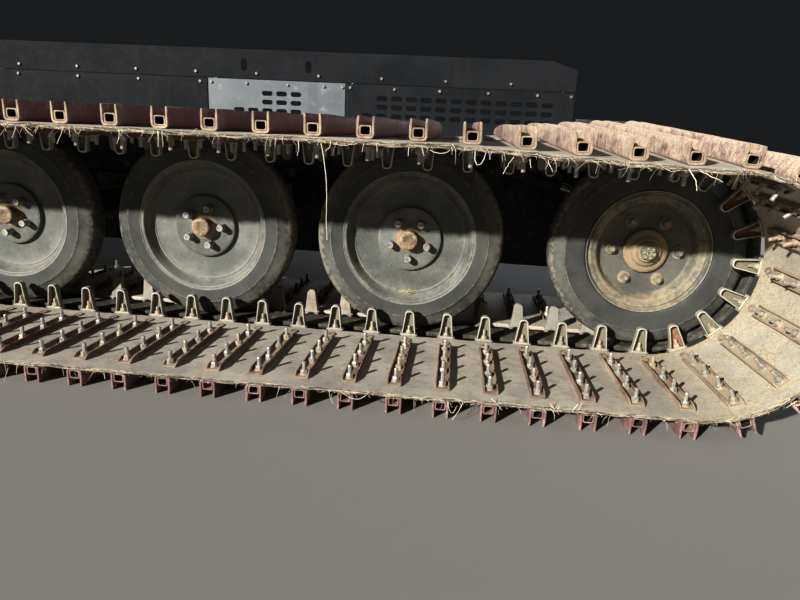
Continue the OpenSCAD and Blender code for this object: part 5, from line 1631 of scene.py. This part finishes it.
# ---------------------------------------------------------------- drive
on_drive = [s_ for s_ in [(FIRST + i * PITCH) % LOOP for i in range(CLEATS)] if LS[3] + 110 < s_ < LS[4] - 110]
first_i = min(i for i in range(CLEATS) if LS[3] + 110 < (FIRST + i * PITCH) % LOOP < LS[4] - 110)
tooth_a = pose((FIRST + first_i * PITCH) % LOOP)[2] - 180.0 / TEETH
outline = []
for i in range(TEETH):
    a = tooth_a + i * 360.0 / TEETH
    for q_, r0 in ((-8.6, 252), (-7.0, 262), (-5.2, 276), (-4.2, 300), (-3.7, 304.2), (-2.6, 306), (2.6, 306), (3.7, 304.2), (4.2, 300), (5.2, 276),
                   (7.0, 262), (8.6, 252)):
        outline.append((DRIVE_X + r0 * cd(a + q_), DRIVE_Z + r0 * sd(a + q_)))
rings = []
for y0 in (-66.0, 54.0):
    r1 = extrude(outline, y0, y0 + 12, holes=[ring(DRIVE_X, DRIVE_Z, 200, 80)], bevel=1.6, wear=0.05, edge_wear=0.5)
    rad = np.hypot(r1.v[:, 0] - DRIVE_X, r1.v[:, 2] - DRIVE_Z)
    r1.wear = np.maximum(r1.wear, smooth(262, 280, rad) * 0.8)
    r1.dust = np.where(rad < 255, 0.35, 0.1)
    rings.append(r1.out())
rg = settle(join(rings), 0.3)
build(rg, "sprocket_tooth_rings", SPROCKET, replaces=("sprocket_rings",), smooth=32)
drum = lathe([(0, -52.0), (84.0, -52.0), (88.0, -50.0), (88.0, -30.2), (150.0, -30.0), (190.0, -54.0), (250.0, -54.0), (250.0, -50.0), (270.0, -50.0),
              (273.0, -48.0), (273.0, 48.0), (270.0, 50.0), (250.0, 50.0), (250.0, 54.0), (200.0, 54.0), (200.0, 44.0), (262.0, 44.0), (262.0, -44.0),
              (196.0, -44.0), (152.0, -22.0), (70.0, -22.0), (70.0, -10.0), (0, -10.0)], 96, at=(DRIVE_X, DRIVE_Z),
             wear=[0.1, 0.2, 0.4, 0, 0, 0.3, 0.3, 0, 0.4, 0.6, 0.6, 0.3] + [0] * 11, dust=0.25)
build(settle(drum.out(), 0.8), "sprocket_drum_steel", SPROCKET, replaces=("sprocket_drum",), smooth=32)
for k in range(16):
    a = tooth_a + 22.5 * k + 11.25
    bolts.append(hex_bolt(DRIVE_X + 224 * cd(a), -66.0, DRIVE_Z + 224 * sd(a), 19, 13, -1, 480 + k))
for k in range(10):
    a = 36 * k + 8
    bolts.append(hex_bolt(DRIVE_X + 70 * cd(a), -52.0, DRIVE_Z + 70 * sd(a), 19, 13, -1, 500 + k))
gear = lathe([(0, -10.0), (66.0, -10.0), (66.0, 70.0), (100.0, 76.5), (105.0, 78.5), (108.0, 80.5), (125.0, 96.0), (125.0, 150.0), (127.5, 152.0), (127.5, 164.0),
              (125.0, 166.0), (125.0, 210.0), (136.0, 213.0), (138.0, 215.0), (138.0, 239.0), (136.0, 241.0), (112.0, 250.0), (112.0, 310.0),
              (113.6, 311.0), (113.6, 330.0), (112.0, 331.0), (112.0, 588.0), (163.0, 588.0), (165.0, 590.0), (165.0, 608.0), (0, 608.0)],
             72, at=(DRIVE_X, DRIVE_Z), wear=[0, 0, 0, 0, 0.3, 0.2, 0.3, 0, 0, 0.3, 0.3, 0, 0.2, 0.5, 0.5, 0.3, 0, 0, 0.2, 0.2, 0, 0, 0.3, 0.5, 0, 0], dust=0.15)
fins = []
for k in range(12):
    a = 30 * k + 15
    f0 = box(112.0, 134.0, 252.0, 300.0, -3.0, 3.0, r=1.2, seg=1, wear=0.1, edge_wear=0.3)
    f0.v[:, 0] = np.where(f0.v[:, 1] > 280, np.minimum(f0.v[:, 0], 116.0), f0.v[:, 0])
    fins.append(f0.out().moved(rot_y(-a), (DRIVE_X, 0, DRIVE_Z)))
build(settle(join([gear.out()] + fins), 0.2), "final_drive_case", DRIVE, replaces=("final_drive",), smooth=32)
for k in range(12):
    a = 30 * k
    bolts.append(hex_bolt(DRIVE_X + 131 * cd(a), 213.4, DRIVE_Z + 131 * sd(a), 11, 8, -1, 520 + k, False))
    bolts.append(hex_bolt(DRIVE_X + 146 * cd(a + 9), 588.0, DRIVE_Z + 146 * sd(a + 9), 19, 13, -1, 540 + k))
y0 = WALL_Y + WALL_T
motor = lathe([(0, y0), (118.0, y0), (120.0, y0 + 2), (120.0, y0 + 14), (117.0, y0 + 16), (84.0, y0 + 20), (82.0, y0 + 26), (82.0, y0 + 60),
               (79.0, y0 + 62), (79.0, y0 + 70), (82.0, y0 + 72), (82.0, y0 + 112), (78.0, y0 + 122), (62.0, y0 + 138), (57.0, y0 + 142), (0, y0 + 142)],
              56, at=(DRIVE_X, DRIVE_Z), wear=[0, 0.2, 0.5, 0.4, 0.2, 0, 0.2, 0.3, 0, 0, 0.3, 0.3, 0.3, 0.3, 0.2, 0], dust=0.15)
parts = [motor.out()]
for a in (60.0, 120.0):
    c, s2 = cd(a), sd(a)
    prt = lathe([(0, 0), (15, 0), (15, 16), (13.5, 18), (8.5, 18), (8.5, 8), (0, 8)], 20, wear=[0, 0, 0.2, 0.5, 0.2, 0, 0], dust=[0, 0, 0, 0, 0.4, 0.8, 0.8])
    parts.append(prt.out().moved(RX90).moved(rot_y(90 - a), (DRIVE_X + 78 * c, y0 + 96, DRIVE_Z + 78 * s2)))
build(settle(join(parts), 0.6), "drive_motor_case", DRIVE, replaces=("drive_motor",), smooth=32)
for k in range(8):
    a = 45 * k + 22.5
    bolts.append(hex_bolt(DRIVE_X + 104 * cd(a), y0 + 16.0, DRIVE_Z + 104 * sd(a), 17, 11, 1, 560 + k))

# ---------------------------------------------------------------- side wall
wall = extrude([(-2680, 294), (-2560, WALL_Z0 + 20), (-2300, WALL_Z0), (700, WALL_Z0), (790, 254), (790, 714), (530, 714), (530, WALL_Z1),
                (-2680, WALL_Z1)], WALL_Y, WALL_Y + WALL_T, holes=[ring(x, WHEEL_Z, 41, 32) for x in ROAD_X], bevel=0.9, edge_wear=0.4)
build(settle(wall.out(), 0.2), "side_wall_plate", WALL, replaces=("side_wall",), smooth=32)
low = box(-2300, 700, WALL_Y + WALL_T, WALL_Y + WALL_T + 60, WALL_Z0, WALL_Z0 + WALL_T, r=2.0, edge_wear=0.3)
build(settle(low.out(), 0.5), "wall_chord_lower_steel", WALL, replaces=("wall_chord_lower",), smooth=32)
upp = box(-2680, 530, WALL_Y + WALL_T, WALL_Y + WALL_T + 60, WALL_Z1 - WALL_T, WALL_Z1, r=2.0, edge_wear=0.3)
build(settle(upp.out(), 0.7), "wall_chord_upper_steel", WALL, replaces=("wall_chord_upper",), smooth=32)
c_prof = [(WALL_Y - 24, 446), (WALL_Y - 24, 480), (WALL_Y, 480), (WALL_Y, 475), (WALL_Y - 19, 475), (WALL_Y - 19, 451), (WALL_Y, 451), (WALL_Y, 446)]
rail = extrude([(z, -y) for y, z in c_prof], -2200, 160, bevel=1.0, edge_wear=0.4)
# drawn along y with x = height and z = -y; turned so that it runs along x
v = rail.v.copy()
rail.v = np.stack([v[:, 1], -v[:, 2], v[:, 0]], 1)
build(settle(rail.out(), 0.1), "side_rail_channel", WALL, replaces=("side_rail",), smooth=32)


def slot_loop(x, z, w, h, n=6):
    """Round-ended hole w long and h high round (x, z)."""
    r, d = h / 2, (w - h) / 2
    a_ = [(x + d + r * cd(-90 + 180 * k / n), z + r * sd(-90 + 180 * k / n)) for k in range(n + 1)]
    return a_ + [(x - d + r * cd(90 + 180 * k / n), z + r * sd(90 + 180 * k / n)) for k in range(n + 1)]


def vents(x0, x1, rows, name, node, rnd, mat):
    holes = [slot_loop(r[0] + i * 56, r[1], 42, 17) for r in rows for i in range(r[2])]
    p_ = extrude([(x0, WALL_Z1 - 28), (x1, WALL_Z1 - 28), (x1, WALL_Z2 - 2), (x0, WALL_Z2 - 2)], WALL_Y - 4, WALL_Y, holes=holes, bevel=0.6,
                 edge_wear=0.35)
    build(settle(p_.out(), rnd), name, mat, replaces=(node,), smooth=32)


vents(-873, -337, [[-640, 756, 3], [-640, 724, 3], [-752, 692, 5]], "vent_panel_rear_sheet", "vent_panel_rear", 0.3, PANEL)
# the front panel takes the near-black painted shade
vents(-333, 516, [[-196, 756, 12], [-196, 724, 12], [-252, 692, 13]], "vent_panel_front_sheet", "vent_panel_front", 0.6, PANEL_PAINTED_SHADE)
# the tail takes the near-black painted shade too
tail = extrude([(-2680, WALL_Z1 - 28), (-877, WALL_Z1 - 28), (-877, WALL_Z2 - 2), (-2680, WALL_Z2 - 2)], WALL_Y - 4, WALL_Y, bevel=0.6, edge_wear=0.35)
build(settle(tail.out(), 0.9), "vent_panel_tail_sheet", PANEL_PAINTED_SHADE, replaces=("vent_panel_tail",), smooth=32)
posts = []
for x in (-2640, -1760, -875, -335, 496):
    posts.append(extrude(rrect(x - 20, x + 20, WALL_Z1, 908 - (40 if x > 420 else 0), 3, 2), WALL_Y, WALL_Y + 40, bevel=1.2, edge_wear=0.3).out())
build(settle(join(posts), 0.4), "panel_posts_steel", WALL, replaces=("panel_posts",), smooth=32)
# the upper strip takes the near-black painted shade too
strip = extrude([(-2680, WALL_Z2), (516, WALL_Z2), (516, 878), (512, 884), (424, 911), (420, 912), (-2680, 912)], WALL_Y - 4, WALL_Y,
                holes=[[(x - (q_[1] - 856), 856 + (q_[0] - x)) for q_ in slot_loop(x, 856, 44, 24)] for x in (-730, -480)], bevel=0.6, edge_wear=0.35)
flat = box(-2680, 420, WALL_Y - 1, WALL_Y + 50, 908, 912, r=1.5, seg=2, edge_wear=0.35)
build(settle(join([strip.out(), flat.out()]), 0.8), "upper_strip_sheet", PANEL_PAINTED_SHADE, replaces=("upper_strip",), smooth=32)

# flanges for the cross members
for x, word in ((-1580.0, "rear"), (-326.0, "front")):
    base_ = extrude(rrect(x - 150, x + 150, 284, 484, 8, 3), WALL_Y + WALL_T, WALL_Y + WALL_T + 16, bevel=1.4, edge_wear=0.4)
    neck = extrude(rrect(x - 90, x + 90, 324, 444, 12, 3), WALL_Y + WALL_T + 15.5, WALL_Y + WALL_T + 76.5, wear=0.0)
    face = extrude(rrect(x - 150, x + 150, 284, 484, 8, 3), WALL_Y + WALL_T + 76, WALL_Y + WALL_T + 92,
                   holes=[ring(x + a * 120, 384 + b * 70, 11, 24) for a in (-1, 1) for b in (-1, 1)], bevel=1.4, wear=0.1, edge_wear=0.55)
    build(settle(join([base_.out(), neck.out(), face.out()]), 0.5), "crossmember_flange_%s_steel" % word, WALL,
          replaces=("crossmember_flange_" + word,), smooth=32)
    for yy, sg in ((WALL_Y + WALL_T + 17.0, 600), (WALL_Y + WALL_T + 75.0, 610)):
        pts = [(x - 82, yy, 323), (x + 82, yy, 323), (x + 91, yy, 332), (x + 91, yy, 436), (x + 82, yy, 445), (x - 82, yy, 445), (x - 91, yy, 436),
               (x - 91, yy, 332), (x - 82, yy, 323)]
        build(settle(bead(pts, 4.6, sg)), "flange_weld_%s_%d" % (word, sg), WELD)

# small bolts and rivets along the wall, the rail and the panels
for k, x in enumerate(np.arange(-2120, 140, 226.0)):
    bolts.append(hex_bolt(float(x), WALL_Y - 24.0, 463.0, 17, 10, -1, 620 + k))
for k, x in enumerate((-860, -720, -560, -420, -348, -318, -150, 20, 200, 380, 502)):
    for z in (620.0, 790.0):
        bolts.append(hex_bolt(float(x), WALL_Y - 4.0, z, 10, 6, -1, 640 + k, False))
for k, x in enumerate(np.arange(-2640, -900, 248.0)):
    for z in (620.0, 790.0):
        bolts.append(hex_bolt(float(x), WALL_Y - 4.0, z, 10, 6, -1, 660 + k, False))
for k, x in enumerate(np.arange(-2600, 500, 240.0)):
    bolts.append(hex_bolt(float(x), WALL_Y - 4.0, 826.0, 10, 6, -1, 690 + k, False))
for k, x in enumerate(np.arange(-2240, 680, 180.0)):
    bolts.append(hex_bolt(float(x), WALL_Y + WALL_T + 30.0, WALL_Z0 + 40.0, 13, 8, 1, 710 + k, False).moved(None, (0, -30, 0)))
build(join(bolts), "frame_bolts", FRAMEBOLT, smooth=38)
wall_beads = [bead([(x - 95, 592.0 + 15, WHEEL_Z - 97), (x + 95, 607.0, WHEEL_Z - 97)], 3.6, 740) for x in ROAD_X]
wall_beads += [bead([(x - 95, 607.0, WHEEL_Z + 97), (x + 95, 607.0, WHEEL_Z + 97)], 3.6, 741) for x in ROAD_X]
wall_beads += [bead([(-2290, WALL_Y + WALL_T + 1, WALL_Z0 + WALL_T + 1), (690, WALL_Y + WALL_T + 1, WALL_Z0 + WALL_T + 1)], 3.4, 745, 14.0),
               bead([(-2670, WALL_Y + WALL_T + 1, WALL_Z1 - WALL_T - 1), (520, WALL_Y + WALL_T + 1, WALL_Z1 - WALL_T - 1)], 3.4, 746, 14.0),
               circle_bead(DRIVE_X, 607.0, DRIVE_Z, 167.0, 4.6, 747)]
build(settle(join(wall_beads)), "wall_welds", WELD)


# ---------------------------------------------------------------- studio
floor_mesh = bpy.data.meshes.new("floor")
size = 60.0
floor_mesh.from_pydata([(-size, -size, 0), (size, -size, 0), (size, size, 0), (-size, size, 0)], [], [(0, 1, 2, 3)])
floor_mat = bpy.data.materials.new("floor")
floor_mat.use_nodes = True
fb = floor_mat.node_tree.nodes["Principled BSDF"]
fb.inputs["Base Color"].default_value = (0.27, 0.265, 0.255, 1.0)
fb.inputs["Roughness"].default_value = 0.9
floor_mesh.materials.append(floor_mat)
floor = bpy.data.objects.new("floor", floor_mesh)
bpy.context.scene.collection.objects.link(floor)


def lamp(name, kind, energy, place, aim, **kw):
    data = bpy.data.lights.new(name, kind)
    data.energy = energy
    for k, v in kw.items():
        setattr(data, k, v)
    ob = bpy.data.objects.new(name, data)
    ob.location = place
    ob.rotation_euler = (Vector(aim) - Vector(place)).to_track_quat("-Z", "Y").to_euler()
    bpy.context.scene.collection.objects.link(ob)
    return ob


# the key stands low at the front left, as the light falls on the object
aim = Vector((0.9, -0.3, 0.35))
way = Vector((0.74, 1.0, -0.50)).normalized()
key = lamp("key", "SUN", 7.4, aim - way * 8.0, aim, angle=math.radians(1.6), color=(1.0, 0.965, 0.905))
fill = lamp("fill", "AREA", 60.0, (5.4, -1.5, 3.6), (-0.2, -0.5, 0.5), shape="RECTANGLE", size=3.0, size_y=2.5, color=(0.86, 0.92, 1.0))
# a low soft light for the inner side of the unit; the side wall keeps it off the wheels
back = lamp("back", "AREA", 110.0, (2.2, 6.0, 1.5), (0.0, 0.6, 0.45), shape="RECTANGLE", size=3.5, size_y=1.2, color=(0.95, 0.97, 1.0))
back.visible_camera = False
world_ = bpy.data.worlds.new("studio")
bpy.context.scene.world = world_
world_.use_nodes = True
bg = world_.node_tree.nodes["Background"]
bg.inputs["Color"].default_value = (0.80, 0.86, 0.95, 1.0)
bg.inputs["Strength"].default_value = 0.03
bpy.context.scene.view_settings.view_transform = "Standard"
bpy.context.scene.view_settings.look = "None"
bpy.context.scene.view_settings.exposure = 0.15
bpy.context.scene.view_settings.gamma = 0.76
